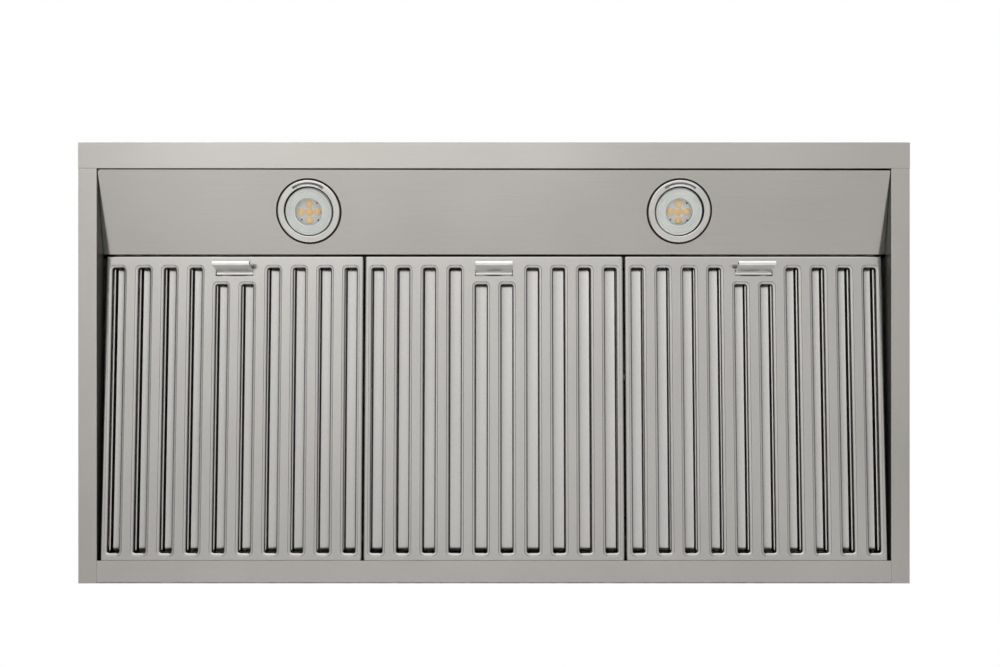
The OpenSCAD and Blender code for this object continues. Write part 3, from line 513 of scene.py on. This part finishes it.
def rolled(radius, starts_flat, steps=6):
    """Insets the selected face round a quarter circle: up into a rim, or down from a wall onto the flat."""
    for k in range(steps):
        a, b = (math.pi / 2 * n / steps for n in (k, k + 1))
        sine, cosine = radius * mm * (math.sin(b) - math.sin(a)), radius * mm * (math.cos(a) - math.cos(b))
        if starts_flat:
            bpy.ops.mesh.inset(thickness=sine, depth=cosine)
        else:
            bpy.ops.mesh.inset(thickness=cosine, depth=-sine)


def open_edge(edge, height):
    """True for an edge with one face that lies at the height."""
    return edge.is_boundary and all(abs(v.co.z - height * mm) < 0.01 * mm for v in edge.verts)


def slot_start(j):
    """The front end of a slot: the two in the middle make room for the latch."""
    return slot_front + (latch_room if j in (4, 5) else 0)


def slot_middle(j):
    """Where a slot's middle line lies across the filter."""
    return (j - 4.5) * slot_pitch


def lifted(height):
    """Extrudes the selection upwards."""
    bpy.ops.mesh.extrude_region_move(TRANSFORM_OT_translate={"value": (0, 0, height * mm)})


def block(name, low, high):
    """A cutter or a squared-off body between two corners, in mm."""
    piece = fresh(name)
    centre = [(a + b) / 2 * mm for a, b in zip(low, high)]
    bpy.ops.mesh.primitive_cube_add(size=mm, location=centre)
    bpy.ops.transform.resize(value=[b - a for a, b in zip(low, high)], center_override=centre)
    return done(piece)


def strip(name, points, across, bend=0, thick=0.8, rim=0.15):
    """A strip of sheet: its middle line is drawn and its corners rounded, and it is drawn out across."""
    piece = drawn(name, points)
    if bend:
        choose(piece, "VERT", lambda v: len(v.link_edges) == 2)
        bpy.ops.mesh.bevel(offset=bend * mm, segments=6, affect="VERTICES")
    bpy.ops.mesh.select_all(action="SELECT")
    bpy.ops.mesh.extrude_region_move(TRANSFORM_OT_translate={"value": Vector(across) * mm})
    bpy.ops.mesh.select_all(action="SELECT")
    bpy.ops.mesh.normals_make_consistent(inside=False)
    return done(piece, SOLIDIFY={"thickness": thick * mm, "offset": 0.0, "use_even_offset": True},
                BEVEL={"width": rim * mm, "segments": 2, "limit_method": "ANGLE",
                       "angle_limit": math.radians(50)})


tray = fresh("tray_master")
outline(-tray_half, tray_front, tray_half, tray_rear, tray_roll, 2.4)
rolled(tray_roll, False)
bpy.ops.mesh.delete(type="ONLY_FACE")
for j in range(10):
    x = slot_middle(j)
    grown = slot_roll + slot_dip + slot_crease
    reach = slot_half + grown
    outline(x - reach, slot_start(j) - grown, x + reach, slot_rear + grown, 0, slot_corner + grown)
    bpy.ops.mesh.inset(thickness=slot_crease / 2 * mm, depth=0.2 * mm)
    bpy.ops.mesh.inset(thickness=slot_crease / 2 * mm, depth=-0.2 * mm)
    bpy.ops.mesh.inset(thickness=slot_dip * mm, depth=0.2 * mm)
    rolled(slot_roll, True, 5)
    lifted(slot_rim - slot_roll - 0.2)
    bpy.ops.mesh.delete(type="ONLY_FACE")
outline(-window_half, latch_window[0], window_half, latch_window[1])
bpy.ops.mesh.delete(type="ONLY_FACE")
choose(tray, "EDGE", lambda e: len(e.link_faces) < 2 and all(abs(v.co.z) < 0.01 * mm for v in e.verts))
bpy.ops.mesh.fill()
choose(tray, "EDGE", lambda e: open_edge(e, tray_roll))
lifted(tray_top - tray_roll - hem_bend)
half = (tray_half, (tray_rear - tray_front) / 2)
turns = [math.pi / 8 * k for k in range(5)]
hem = [(hem_bend * (1 - math.cos(a)), hem_bend * math.sin(a)) for a in turns] + [(tray_hem, hem_bend)]
for (near, low), (far, high) in zip(hem, hem[1:]):
    lifted(high - low)
    drawn_in = [(h - far) / (h - near) for h in half] + [1]
    bpy.ops.transform.resize(value=drawn_in, center_override=(0, (tray_front + tray_rear) / 2 * mm, 0))
bpy.ops.mesh.select_all(action="SELECT")
bpy.ops.mesh.normals_make_consistent(inside=False)
if min(bmesh.from_edit_mesh(tray.data).faces, key=lambda f: f.calc_center_median().z).normal.z > 0:
    bpy.ops.mesh.flip_normals()
done(tray, SOLIDIFY={"thickness": 0.8 * mm, "offset": -1.0, "use_even_offset": True})
cut_by(tray, block("tongue_slot", (-17.5, tray_front - 3, 0.9), (17.5, tray_front + 3, 2.6)))
stop_y = spring_seat + spring_length + 0.75
spring_stop = strip("spring_stop", [(-5, stop_y, 0.8), (-5, stop_y, 6.8)], (10, 0, 0), thick=1.5)
tray = joined("tray_master", [tray, spring_stop])


def channel(start):
    """One inverted channel of the rack: a crowned web, and legs that reach down round the rim of its slot."""
    crown = [(x, start, z) for x, z in arc(0, -4.0, 22.0, 107.5, 72.5, 8)]
    leg = [(-8.3, 10.9), (-7.0, 11.5), (-7.0, 15.9)]
    line = [(x, start, z) for x, z in leg] + crown + [(-x, start, z) for x, z in reversed(leg)]
    return strip("channel_master", line, (0, slot_rear + 1 - start, 0), bend=0.5)


long_channel = channel(slot_start(0) - 1)
short_channel = channel(slot_start(4) - 1)
rail = strip("rail_master", [(1 - tray_half, 0, 18.8), (tray_half - 1, 0, 18.8)], (0, 9, 0))
bars = [copied(short_channel if j in (4, 5) else long_channel, f"channel_{j}", at(slot_middle(j), 0, 0))
        for j in range(10)]
bars += [copied(rail, f"rail_{n}", at(0, y, 0)) for n, y in enumerate((slot_start(4) + 2, slot_rear - 10))]
rack = joined("rack_master", bars)


def steep_rim(face, place):
    """True for the steep part of the rims of the slots, which reaches further round on the side that looks
    away from the middle of the hood. These faces get the painted shade."""
    x, y, _ = place.inverted() @ face.center / mm
    in_slots = abs(x) < tray_half - tray_margin and tray_front + tray_margin < y < tray_rear - tray_margin
    least = shade_least_outer if face.normal.x * face.center.x > 0 else shade_least
    return in_slots and least < face.normal.z < shade_most


def flank(face):
    """True for the sides of the channels, which stand almost upright and get the painted shade."""
    return abs(face.normal.x) > 0.85


for side, place in filter_places.items():
    placed(tray, "filter_tray_" + side, place, tray_steel, "filter_" + side, "baffle_steel",
           "filter_face_" + side, second=painted_shade_steel, where=lambda face: steep_rim(face, place))
    placed(rack, "filter_rack_" + side, place, rack_steel_with_painted_highlight, "filter_" + side, "baffle_steel",
           "filter_baffle_" + side, second=painted_shade_steel, where=flank)
scrap(tray, rack, long_channel, short_channel, rail)


# ---- Filter latches ----
# A stainless strip in the front of each filter slides back against a small coil spring of zinc-plated
# wire. Its lower end hangs down as a finger pull, and its edge is rolled into a polished lip.
latch_z = 1.1
lip_y, lip_z, lip_radius = pull_top - 8.1, -13.3, 2.6
lip_starts, lip_turns = 30, 330
# The latch's steel is painted much lighter than the other stainless, a painted highlight, so that the lip
# shows as one bright line; the roller that bent it also polished it.
lip_painted_highlight_steel = brushed_stainless("polished stainless of the latches", (1, 0, 0), "e2e1df", "ecebe9", 0.3)

heel = [(pull_top + 3.6, latch_z + 6.2), (pull_top + 3.6, latch_z + 2.4), (pull_top + 2.3, latch_z + 0.6),
        (pull_top + 0.2, latch_z + 0.6), (pull_top - 0.6, latch_z - 0.6)]
lip = arc(lip_y, lip_z, lip_radius, lip_starts, lip_starts - lip_turns, steps=15)
pull = strip("latch_master", [(-pull_half, y, z) for y, z in heel + lip], (2 * pull_half, 0, 0), thick=1.2,
             rim=0.25)
tongue = strip("tongue_master", [(-tongue_half, y, tongue_z) for y in (tray_front - 0.5, pull_top)],
               (2 * tongue_half, 0, 0), thick=1.2, rim=0.25)

coil = drawn("spring_master", [(r, 0, z) for r, z in arc(2.1, 0.4, 0.4, 0, 360, 8)])
bpy.ops.mesh.select_all(action="SELECT")
bpy.ops.mesh.remove_doubles(threshold=0.01 * mm)
done(coil, SCREW={"angle": 2 * math.pi, "screw_offset": (spring_length - 0.8) / spring_turns * mm,
                  "iterations": spring_turns, "steps": 14, "render_steps": 14, "axis": "Z"})

for side, place in filter_places.items():
    placed(pull, "latch_pull_" + side, place, lip_painted_highlight_steel, "latch_" + side, "baffle_steel",
           "filter_latch_" + side)
    # The tongue takes the near-black steel: painted shade.
    placed(tongue, "latch_tongue_" + side, place, painted_shade_steel, "latch_" + side, "baffle_steel",
           "filter_latch_" + side)
    wire = placed(coil, "latch_spring_" + side + "_coil", place @ at(0, spring_seat, spring_z, -math.pi / 2),
                  screw_zinc, "filter_" + side, "zinc", "latch_spring_" + side)
    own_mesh(wire)
scrap(pull, tongue, coil)


# ---- Blower ----
# A centrifugal blower hangs from the deck: a spiral housing of galvanised sheet between two end plates
# with drawn inlet rings, a moulded nylon wheel with forward-curved blades, and a motor in a bracket.
blower_y, blower_z, deck_top = -107.14, 165.0, 251
on_axis = at(0, blower_y, blower_z, math.pi / 2, "Y")
blade_count, blade_foot, wheel_half, thread_pitch = 36, 53.4, 68, 1.2
# The nylon is leathery and nearly black, the enamel has an even half gloss, the shaft a sharp glint.
nylon = coated("black glass-filled nylon", "141415", "202022", 0.5, grain=0.8, metallic=0.0, bump_height=0.03)
enamel = coated("grey stoving enamel", "4a4c4e", "585a5c", 0.35, grain=0.6, metallic=0.0, bump_height=0.02,
                Coat_Weight=0.3)
ground_steel = coated("ground steel shaft", "a4a6a8", "bcbec0", 0.18, grain=0.2)

folded_sheet("blower_scroll", zinc_sheet, "galvanised", bend=0.5 * mm, inside=0.3 * mm)
inlet = done(turned("inlet_master", [(56, 0), (56, -0.8)] + arc(53.2, -3.2, 2.4, 90, 180, 4)
                    + [(50.8, -4.6), (50.0, -4.6)] + arc(53.2, -3.2, 3.2, 180, 90, 4) + [(56, 0)], steps=96))
for side, face, x in (("left", math.pi, -75), ("right", 0, 75)):
    folded_sheet("blower_side_" + side, zinc_sheet, "galvanised")
    placed(inlet, "blower_inlet_" + side, on_axis @ at(0, 0, x, face), zinc_sheet, "hood", "galvanised",
           "blower_side_" + side)


def repeated(count):
    """Repeats the whole piece in edit mode round Z."""
    bpy.ops.mesh.select_all(action="SELECT")
    bpy.ops.mesh.spin(steps=count, dupli=True, angle=2 * math.pi, center=(0, 0, 0), axis=(0, 0, 1))
    bpy.ops.mesh.select_all(action="SELECT")
    bpy.ops.mesh.remove_doubles(threshold=0.005 * mm)


blades = drawn("blades_master", [(r, -0.75 * (r - blade_foot) + 0.05 * (r - blade_foot) ** 2, -wheel_half)
                                 for r in range(54, 64)])
bpy.ops.mesh.select_all(action="SELECT")
lifted(2 * wheel_half)
repeated(blade_count)
done(blades, SOLIDIFY={"thickness": 1.2 * mm, "offset": 0.0})
end_ring = [(59, 66.3), (59.5, 66), (64.6, 66), (65, 66.4), (65, 68.6), (64.6, 69), (59.5, 69), (59, 68.7),
            (59, 66.3)]
rings = [done(turned("ring_master", [(r, s * h) for r, h in end_ring], steps=96)) for s in (-1, 1)]
disc_line = [(4, -6), (11.2, -6), (12, -5.2), (12, -2.5), (13.5, -1), (64.5, -1), (65, 0), (64.5, 1),
             (13.5, 1), (12, 2.5), (12, 9.2), (11.2, 10), (4, 10), (4, -6)]
disc = done(turned("disc_master", disc_line, steps=96))
wheel = joined("wheel_master", [blades, disc] + rings)
placed(wheel, "blower_wheel_moulded", on_axis, nylon, "rotor", "black_plastic", "blower_wheel")

motor_line = ([(0, -92), (11, -92), (12, -91), (12, -89.5), (31, -89.5)] + arc(31, -84.5, 5, -90, 0, 4)
              + [(36, -81), (40.4, -81), (41, -80.4), (41, -78.6), (40.4, -78), (36, -78), (36, -60),
                 (36.0, -59.2), (35.2, -58.8), (35.2, -44.2), (36, -43.8), (36, -15)]
              + arc(31, -14.8, 5, 0, 90, 4)
              + [(12, -9.8), (12, -8.6), (11.4, -8), (4.05, -8), (4.05, -62), (0, -62)])
shell = done(turned("motor_master", motor_line))
for end in (-92, -12):
    vents = block("vents", (17, -2, end), (28, 2, end + 4))
    bpy.ops.object.mode_set(mode="EDIT")
    repeated(8)
    cut_by(shell, done(vents))
placed(shell, "motor_housing", on_axis, enamel, "hood", "motor_paint", "motor")
shaft = done(turned("shaft_master", [(0, -58), (3.6, -58), (4, -57.6), (4, 9.4), (3.6, 9.7), (3.6, 10.5),
                                     (4, 10.8), (4, 11.5), (3.5, 12), (0, 12)], steps=48))
placed(shaft, "motor_shaft_ground", on_axis, ground_steel, "rotor", "zinc", "motor_shaft")
folded_sheet("motor_bracket", zinc_sheet, "galvanised")


def pan_screw(length):
    """A pan head screw on Z, its head above the origin: cross recess, tapered tip and a cut thread."""
    head = done(turned("head", [(0, -length), (0.4, -length), (1.45, 1.4 - length), (1.45, 0), (3.5, 0),
                                (3.6, 0.15), (3.6, 0.8)] + arc(2.4, 0.75, 1.2, 10, 80, 4) + [(0, 2.0)],
                       steps=32))
    for wide, long in ((0.45, 1.9), (1.9, 0.45)):
        cut_by(head, block("recess", (-wide, -long, 0.9), (wide, long, 3)))
    thread = drawn("thread", [(1.4, 0, 1.5 - length), (1.9, 0, 1.85 - length), (1.4, 0, 2.2 - length)])
    done(thread, SCREW={"angle": 2 * math.pi, "screw_offset": thread_pitch * mm, "axis": "Z",
                        "iterations": int((length - 2.4) / thread_pitch), "steps": 16, "render_steps": 16})
    return joined("screw_master", [head, thread])


def screws_in(name, length, places):
    """One piece of all the like screws of a node."""
    master = pan_screw(length)
    group = joined(name, [copied(master, name, place) for place in places])
    scrap(master)
    return group


fitted(screws_in("blower_screws_pan", 8, [at(x, y, deck_top) for x in (-84, 84) for y in (-190, -80)]),
       screw_zinc, "hood", "zinc", "blower_screws")
scrap(inlet, wheel, shell, shaft)


# ---- Duct collar and damper ----
# A spun galvanised collar riveted over the deck hole, with a bead pressed into it. Two half-round flaps
# hang on one pin above the bead, fall shut on it, and are lifted by the air.
duct_y = -135
duct = at(0, duct_y, deck_top)
hung = at(0, 0, 22, math.pi / 2, "Y")
collar_line = ([(74, 0), (77.7, 0), (78, 0.3), (78, 0.7), (77.7, 1)] + arc(76.2, 2.2, 1.2, 270, 180, 3)
               + [(75, 49.7), (74.7, 50), (74.3, 50), (74, 49.7), (74, 21.4), (72.4, 21.2), (72, 20.9),
                  (72, 20.3), (72.4, 20), (74, 19.8), (74, 0)])
collar = done(turned("collar_master", collar_line, steps=128))
pin_hole = done(turned("pin_hole", [(0, -90), (1.55, -90), (1.55, 90), (0, 90)], steps=24))
pin_hole.matrix_world = hung
cut_by(collar, pin_hole)
placed(collar, "duct_collar_spun", duct, zinc_sheet, "hood", "galvanised", "duct_collar")
axle_line = [(0, -74.7), (1.0, -74.7), (1.5, -74.1), (1.5, 74.1), (1.0, 74.7), (0, 74.7)]
axle = done(turned("axle_master", axle_line, steps=32))
placed(axle, "damper_axle", duct @ hung, screw_zinc, "hood", "zinc", "damper_pin")
for half in ("front", "rear"):
    folded_sheet("damper_" + half, zinc_sheet, "galvanised", "flap_" + half, bend=0.3 * mm, inside=0.3 * mm)
scrap(collar, axle)


# ---- Push buttons ----
# Five solid caps of spun stainless, dished and chamfered, slide in a moulded block behind the fascia.
# Each presses a snap dome on the control board, which the block's screws hold against its back.
button_pitch, button_z, fascia_y = 30, 32, -485
board_thick, board_y = 1.6, -470.5


def spun_stainless(name):
    """Turned on a lathe: rings 0.2 mm apart round each cap's own middle, which glint as a fan."""
    material, tree, inputs = surface(name, Metallic=1.0)
    place = add(tree, "Attribute", out="Vector", attribute_name="own")
    flat = add(tree, "VectorMath", {0: place, 1: (1, 1, 0)}, operation="MULTIPLY")
    radius = add(tree, "VectorMath", {0: flat}, out="Value", operation="LENGTH")
    rings = add(tree, "TexNoise", {"W": radius, "Scale": 1 / (0.2 * mm), "Detail": 2.0},
                noise_dimensions="1D")
    tint = add(tree, "Mix", {0: rings, 6: linear("a3a29f"), 7: linear("bcbbb8")}, data_type="RGBA")
    tree.links.new(tint, inputs["Base Color"])
    grit = add(tree, "MapRange", {"Value": rings, "To Min": 0.16, "To Max": 0.3})
    tree.links.new(grit, inputs["Roughness"])
    bump = add(tree, "Bump", {"Height": rings, "Strength": 0.4, "Distance": 0.01 * mm})
    tree.links.new(bump, inputs["Normal"])
    return material


# The moulded block is dark and matt, the board deep green under a gloss, with gold and black on it.
button_steel = spun_stainless("spun stainless of the buttons")
moulded_black = coated("black moulded plastic", "101011", "19191a", 0.45, grain=0.5, metallic=0.0,
                       bump_height=0.02)
solder_mask = coated("green solder mask", "0f3d22", "175030", 0.25, grain=4.0, metallic=0.0, Coat_Weight=0.5)
gold_contact = coated("gold-plated contact", "b08d4a", "c8a562", 0.22)
chip_epoxy = coated("black epoxy", "151515", "1f1f1f", 0.4, metallic=0.0)
nylon_white = coated("natural nylon", "d8d5c8", "e6e3d8", 0.4, metallic=0.0, Subsurface_Weight=0.1)

cap_line = [(0, -3.15), (3.5, -3.2), (6.2, -3.5), (7.2, -3.5), (7.9, -2.9), (8, -2.6), (8, 4), (7.4, 4.3),
            (7.4, 5.3), (8, 5.6), (8, 10.4), (7.6, 11), (0, 11)]
cap = done(turned("button_master", cap_line, steps=96))
own = cap.data.attributes.new("own", "FLOAT_VECTOR", "POINT")
for vertex, value in zip(cap.data.vertices, own.data):
    value.vector = vertex.co
snap = done(turned("snap_master", [(0, -0.45), (1.8, -0.38), (2.8, -0.12), (3.2, 0.05), (0, 0.05)], steps=32))
button_places = {name: at((n - 2) * button_pitch, fascia_y, button_z, -math.pi / 2)
                 for n, name in enumerate(("stop", "low", "medium", "high", "light"))}
for name, place in button_places.items():
    placed(cap, "button_" + name + "_cap", place, button_steel, "key_" + name, "button_steel",
           "button_" + name)
    placed(snap, "snap_dome_" + name, place @ at(0, 0, 14.5), gold_contact, "hood", "circuit_board",
           "control_board")
folded_sheet("switch_housing", moulded_black, "black_plastic", bend=1.0 * mm, inside=0.4 * mm)

board = fresh("board_master")
outline(-75, -44, 75, -20, 0, 2)
done(board, SOLIDIFY={"thickness": board_thick * mm, "offset": 1.0})
upright = at(0, board_y, 0, -math.pi / 2)
chips = [(-64, -32, 9, 9, 1.3), (12, -24.5, 6, 4, 1.6), (-46, -40, 5, 3.4, 1.2)]
for n, (x, y, wide, long, high) in enumerate(chips):
    chip = block("chip_master", (x - wide / 2, y - long / 2, board_thick),
                 (x + wide / 2, y + long / 2, board_thick + high))
    done(chip, BEVEL={"width": 0.25 * mm, "segments": 2})
    placed(chip, f"control_chip_{n}", upright, chip_epoxy, "hood", "circuit_board", "control_board")
    scrap(chip)
plug = block("board_plug_master", (50, -40, board_thick), (68, -30, 7.5))
cut_by(plug, block("mouth", (51, -39, 3), (67, -31, 9)))
done(plug, BEVEL={"width": 0.3 * mm, "segments": 2, "limit_method": "ANGLE"})
placed(plug, "board_plug", upright, nylon_white, "hood", "circuit_board", "control_board")
placed(board, "control_board_laminate", upright, solder_mask, "hood", "circuit_board", "control_board")
scrap(cap, snap, board, plug)


# ---- Wiring ----
# The supply enters through a nylon gland in the deck and ends in a lidded steel box on the back panel,
# with the motor's run capacitor beside it. PVC-covered leads run from there to the motor and the lamps.
capacitor_x, capacitor_y = 208, -19
lead_radius, lead_bend, lamp_top = 1.6, 6, 24
wall_y, deck_z, box_x, motor_x = -23.5, 238, 176, -112
behind_panel, over_filters = -349, 52
# Gland and leads are black with a soft sheen, the capacitor's case pale and smooth, its terminals bright.
gland_nylon = coated("black polyamide gland", "161616", "222222", 0.42, grain=0.5, metallic=0.0,
                     bump_height=0.02)
film_case = coated("grey capacitor case", "b9babc", "cfd0d2", 0.4, grain=1.0, metallic=0.0)
tin = coated("tinned brass", "b3b3b0", "c6c6c2", 0.22)
pvc = coated("black PVC insulation", "121213", "1c1c1d", 0.38, grain=1.2, metallic=0.0, bump_height=0.015)

locknut = [(4.5, 245), (10.4, 245), (12, 246), (12, 249), (10.4, 250), (4.5, 250), (4.5, 245)]
thread = ([(4.5, 246), (8, 246)] + [(8 - 0.45 * (k % 2), 250 + 0.25 * k) for k in range(5)]
          + [(8, 258), (4.5, 258), (4.5, 246)])
hexagon = [(4.5, 251), (9.6, 251), (11, 251.8), (11, 255.2), (9.6, 256), (4.5, 256), (4.5, 251)]
dome_nut = [(4.5, 256), (8, 256), (8, 262)] + arc(5.2, 262, 2.8, 0, 90, 5) + [(4.5, 264.8), (4.5, 256)]
gland = joined("gland_master", [done(turned("gland_part", line, steps=steps)) for line, steps in
                                ((locknut, 6), (thread, 48), (hexagon, 6), (dome_nut, 48))])
placed(gland, "cable_gland_nylon", at(120, -215, 0), gland_nylon, "hood", "black_plastic", "cable_gland",
       smooth=25)
folded_sheet("wiring_box", zinc_sheet, "galvanised")
folded_sheet("wiring_cover", zinc_sheet, "galvanised")

can_line = ([(0, 73)] + arc(12, 75, 2, -90, 0, 4)
            + [(14, 79), (13.5, 79.6), (13.5, 80.4), (14, 81), (14, 119)]
            + arc(12.4, 119.4, 1.6, 0, 90, 4) + [(12.2, 120.4), (0, 120.4)])
can = done(turned("capacitor_master", can_line))
placed(can, "capacitor_can", at(capacitor_x, capacitor_y, 0), film_case, "hood", "black_plastic", "capacitor")
tab = block("terminal_master", (-3.15, -0.4, 120), (3.15, 0.4, 126))
cut_by(tab, done(turned("eye", [(0, -2), (0.8, -2), (0.8, 2), (0, 2)], steps=20)))
done(tab, BEVEL={"width": 0.15 * mm, "segments": 2, "limit_method": "ANGLE"})
for n, x in enumerate((-5, 5)):
    placed(tab, f"capacitor_terminal_{n}", at(capacitor_x + x, capacitor_y, 0), tin, "hood", "black_plastic",
           "capacitor")


def lead(name, points):
    """A round lead along a path whose corners are eased."""
    piece = drawn(name, points)
    choose(piece, "VERT", lambda v: len(v.link_edges) == 2)
    bpy.ops.mesh.bevel(offset=lead_bend * mm, segments=6, affect="VERTICES")
    done(piece)
    bpy.ops.object.convert(target="CURVE")
    piece = bpy.context.object
    piece.data.bevel_depth = lead_radius * mm
    piece.data.bevel_resolution = 5
    piece.data.use_fill_caps = True
    bpy.ops.object.convert(target="MESH")
    return bpy.context.object


left, right = (lamp_places[side] @ Vector((0, 0, lamp_top * mm)) / mm for side in ("left", "right"))
motor_lead = [(192, wall_y, 104), (box_x, wall_y, 104), (150, wall_y, deck_z), (motor_x, wall_y, deck_z),
              (motor_x, blower_y, deck_z), (motor_x, blower_y, blower_z), (-92.1, blower_y, blower_z)]
left_lead = [(192, wall_y, 100), (box_x, wall_y, 100), (box_x, wall_y, over_filters),
             (box_x, behind_panel, over_filters), (left.x, behind_panel, over_filters),
             (left.x, left.y, over_filters), tuple(left)]
right_lead = [(170, behind_panel, over_filters), (right.x, behind_panel, over_filters),
              (right.x, right.y, over_filters), tuple(right)]
for name, path in (("motor", motor_lead), ("left_lamp", left_lead), ("right_lamp", right_lead)):
    fitted(lead("wiring_" + name + "_lead", path), pvc, "hood", "black_plastic", "wiring_loom")
scrap(gland, can, tab)


# ---- Flue covers ----
# Two stainless channels brushed upwards: the lower one stands on the deck, screwed to its frame, and the
# upper one slides up inside it and hooks on a galvanised bracket screwed to the wall.
grain_up = brushed_stainless("stainless brushed up the flue cover", (0, 0, 1))
folded_sheet("chimney_lower", grain_up)
folded_sheet("chimney_upper", grain_up, body="upper_cover")
folded_sheet("chimney_bracket", zinc_sheet, "galvanised", "upper_cover")
sides = [at(n * 155, duct_y, 258, n * math.pi / 2, "Y") for n in (-1, 1)]
fitted(screws_in("chimney_screws_pan", 6, sides), screw_zinc, "hood", "zinc", "chimney_screws")


# ---- Studio ----
# The kitchen round the hood: a pale floor 1.65 m below it and four soft boxes that the camera doesn't see.
# The surround is white to the camera, dimmer as a light, and in the metal dark below and light above.
# The camera looks straight up, as in the photograph.
floor_z = -1.65
room_light, shine_below, shine_above = 0.54, 0.3, 0.85

world = bpy.data.worlds.new("studio")
bpy.context.scene.world = world
world.use_nodes = True
tree = world.node_tree
add(tree, "LightPath", {})
rays = tree.nodes[-1].outputs
seen = add(tree, "Math", {0: rays["Is Camera Ray"], 1: rays["Is Transmission Ray"]}, operation="MAXIMUM")
height = add(tree, "SeparateXYZ", {"Vector": add(tree, "TexCoord", out="Generated")}, out="Z")
shine = add(tree, "MapRange", {"Value": height, "From Min": -0.4, "From Max": -0.15,
                               "To Min": shine_below, "To Max": shine_above})
walls = add(tree, "MapRange", {"Value": rays["Is Glossy Ray"], "To Min": room_light, "To Max": shine})
level = add(tree, "MapRange", {"Value": seen, "To Min": walls, "To Max": 1.0})
tree.nodes["Background"].inputs["Color"].default_value = (1, 1, 1, 1)
tree.links.new(level, tree.nodes["Background"].inputs["Strength"])

bpy.ops.object.select_all(action="DESELECT")
bpy.ops.mesh.primitive_plane_add(size=5, location=(0, 0, floor_z))
floor = bpy.context.object
floor.name = "floor"
floor.data.materials.append(coated("pale painted floor", "e4e3e1", "e8e7e5", 0.7, grain=3.0, metallic=0.0))
floor.visible_camera = False


def softbox(name, place, target, size, watts, spread=180):
    """A soft area lamp, seen by surfaces and reflections but not by the camera."""
    lamp = bpy.data.lights.new(name, "AREA")
    lamp.shape = "RECTANGLE"
    lamp.size, lamp.size_y = size
    lamp.energy = watts
    lamp.spread = math.radians(spread)
    box = bpy.data.objects.new(name, lamp)
    bpy.context.collection.objects.link(box)
    box.location = place
    box.rotation_euler = (Vector(target) - Vector(place)).to_track_quat("-Z", "Y").to_euler()
    box.visible_camera = False


softbox("softbox front", (0, -1.5, -0.9), (0, 0, -0.9), (3.4, 1.4), 14, 140)
softbox("softbox rear", (0, 1.0, -1.35), (0, -0.2, -0.9), (3.0, 0.45), 3, 120)
softbox("softbox over the floor", (-1.0, -1.7, 0.3), (-0.4, -0.75, floor_z), (0.8, 0.8), 9.2, 90)
softbox("softbox above", (0.6, -1.4, 2.6), (0, -0.2, 0.3), (3.4, 3.4), 25)

camera = bpy.data.objects.new("camera", bpy.data.cameras.new("camera"))
bpy.context.collection.objects.link(camera)
camera.location = (0.0066, -0.2746, -1.0)
camera.rotation_euler = (math.pi, 0, 0)
camera.data.lens = 32.77
camera.data.sensor_width = 36
camera.data.clip_end = 60
bpy.context.scene.camera = camera
bpy.context.scene.view_settings.view_transform = "Standard"
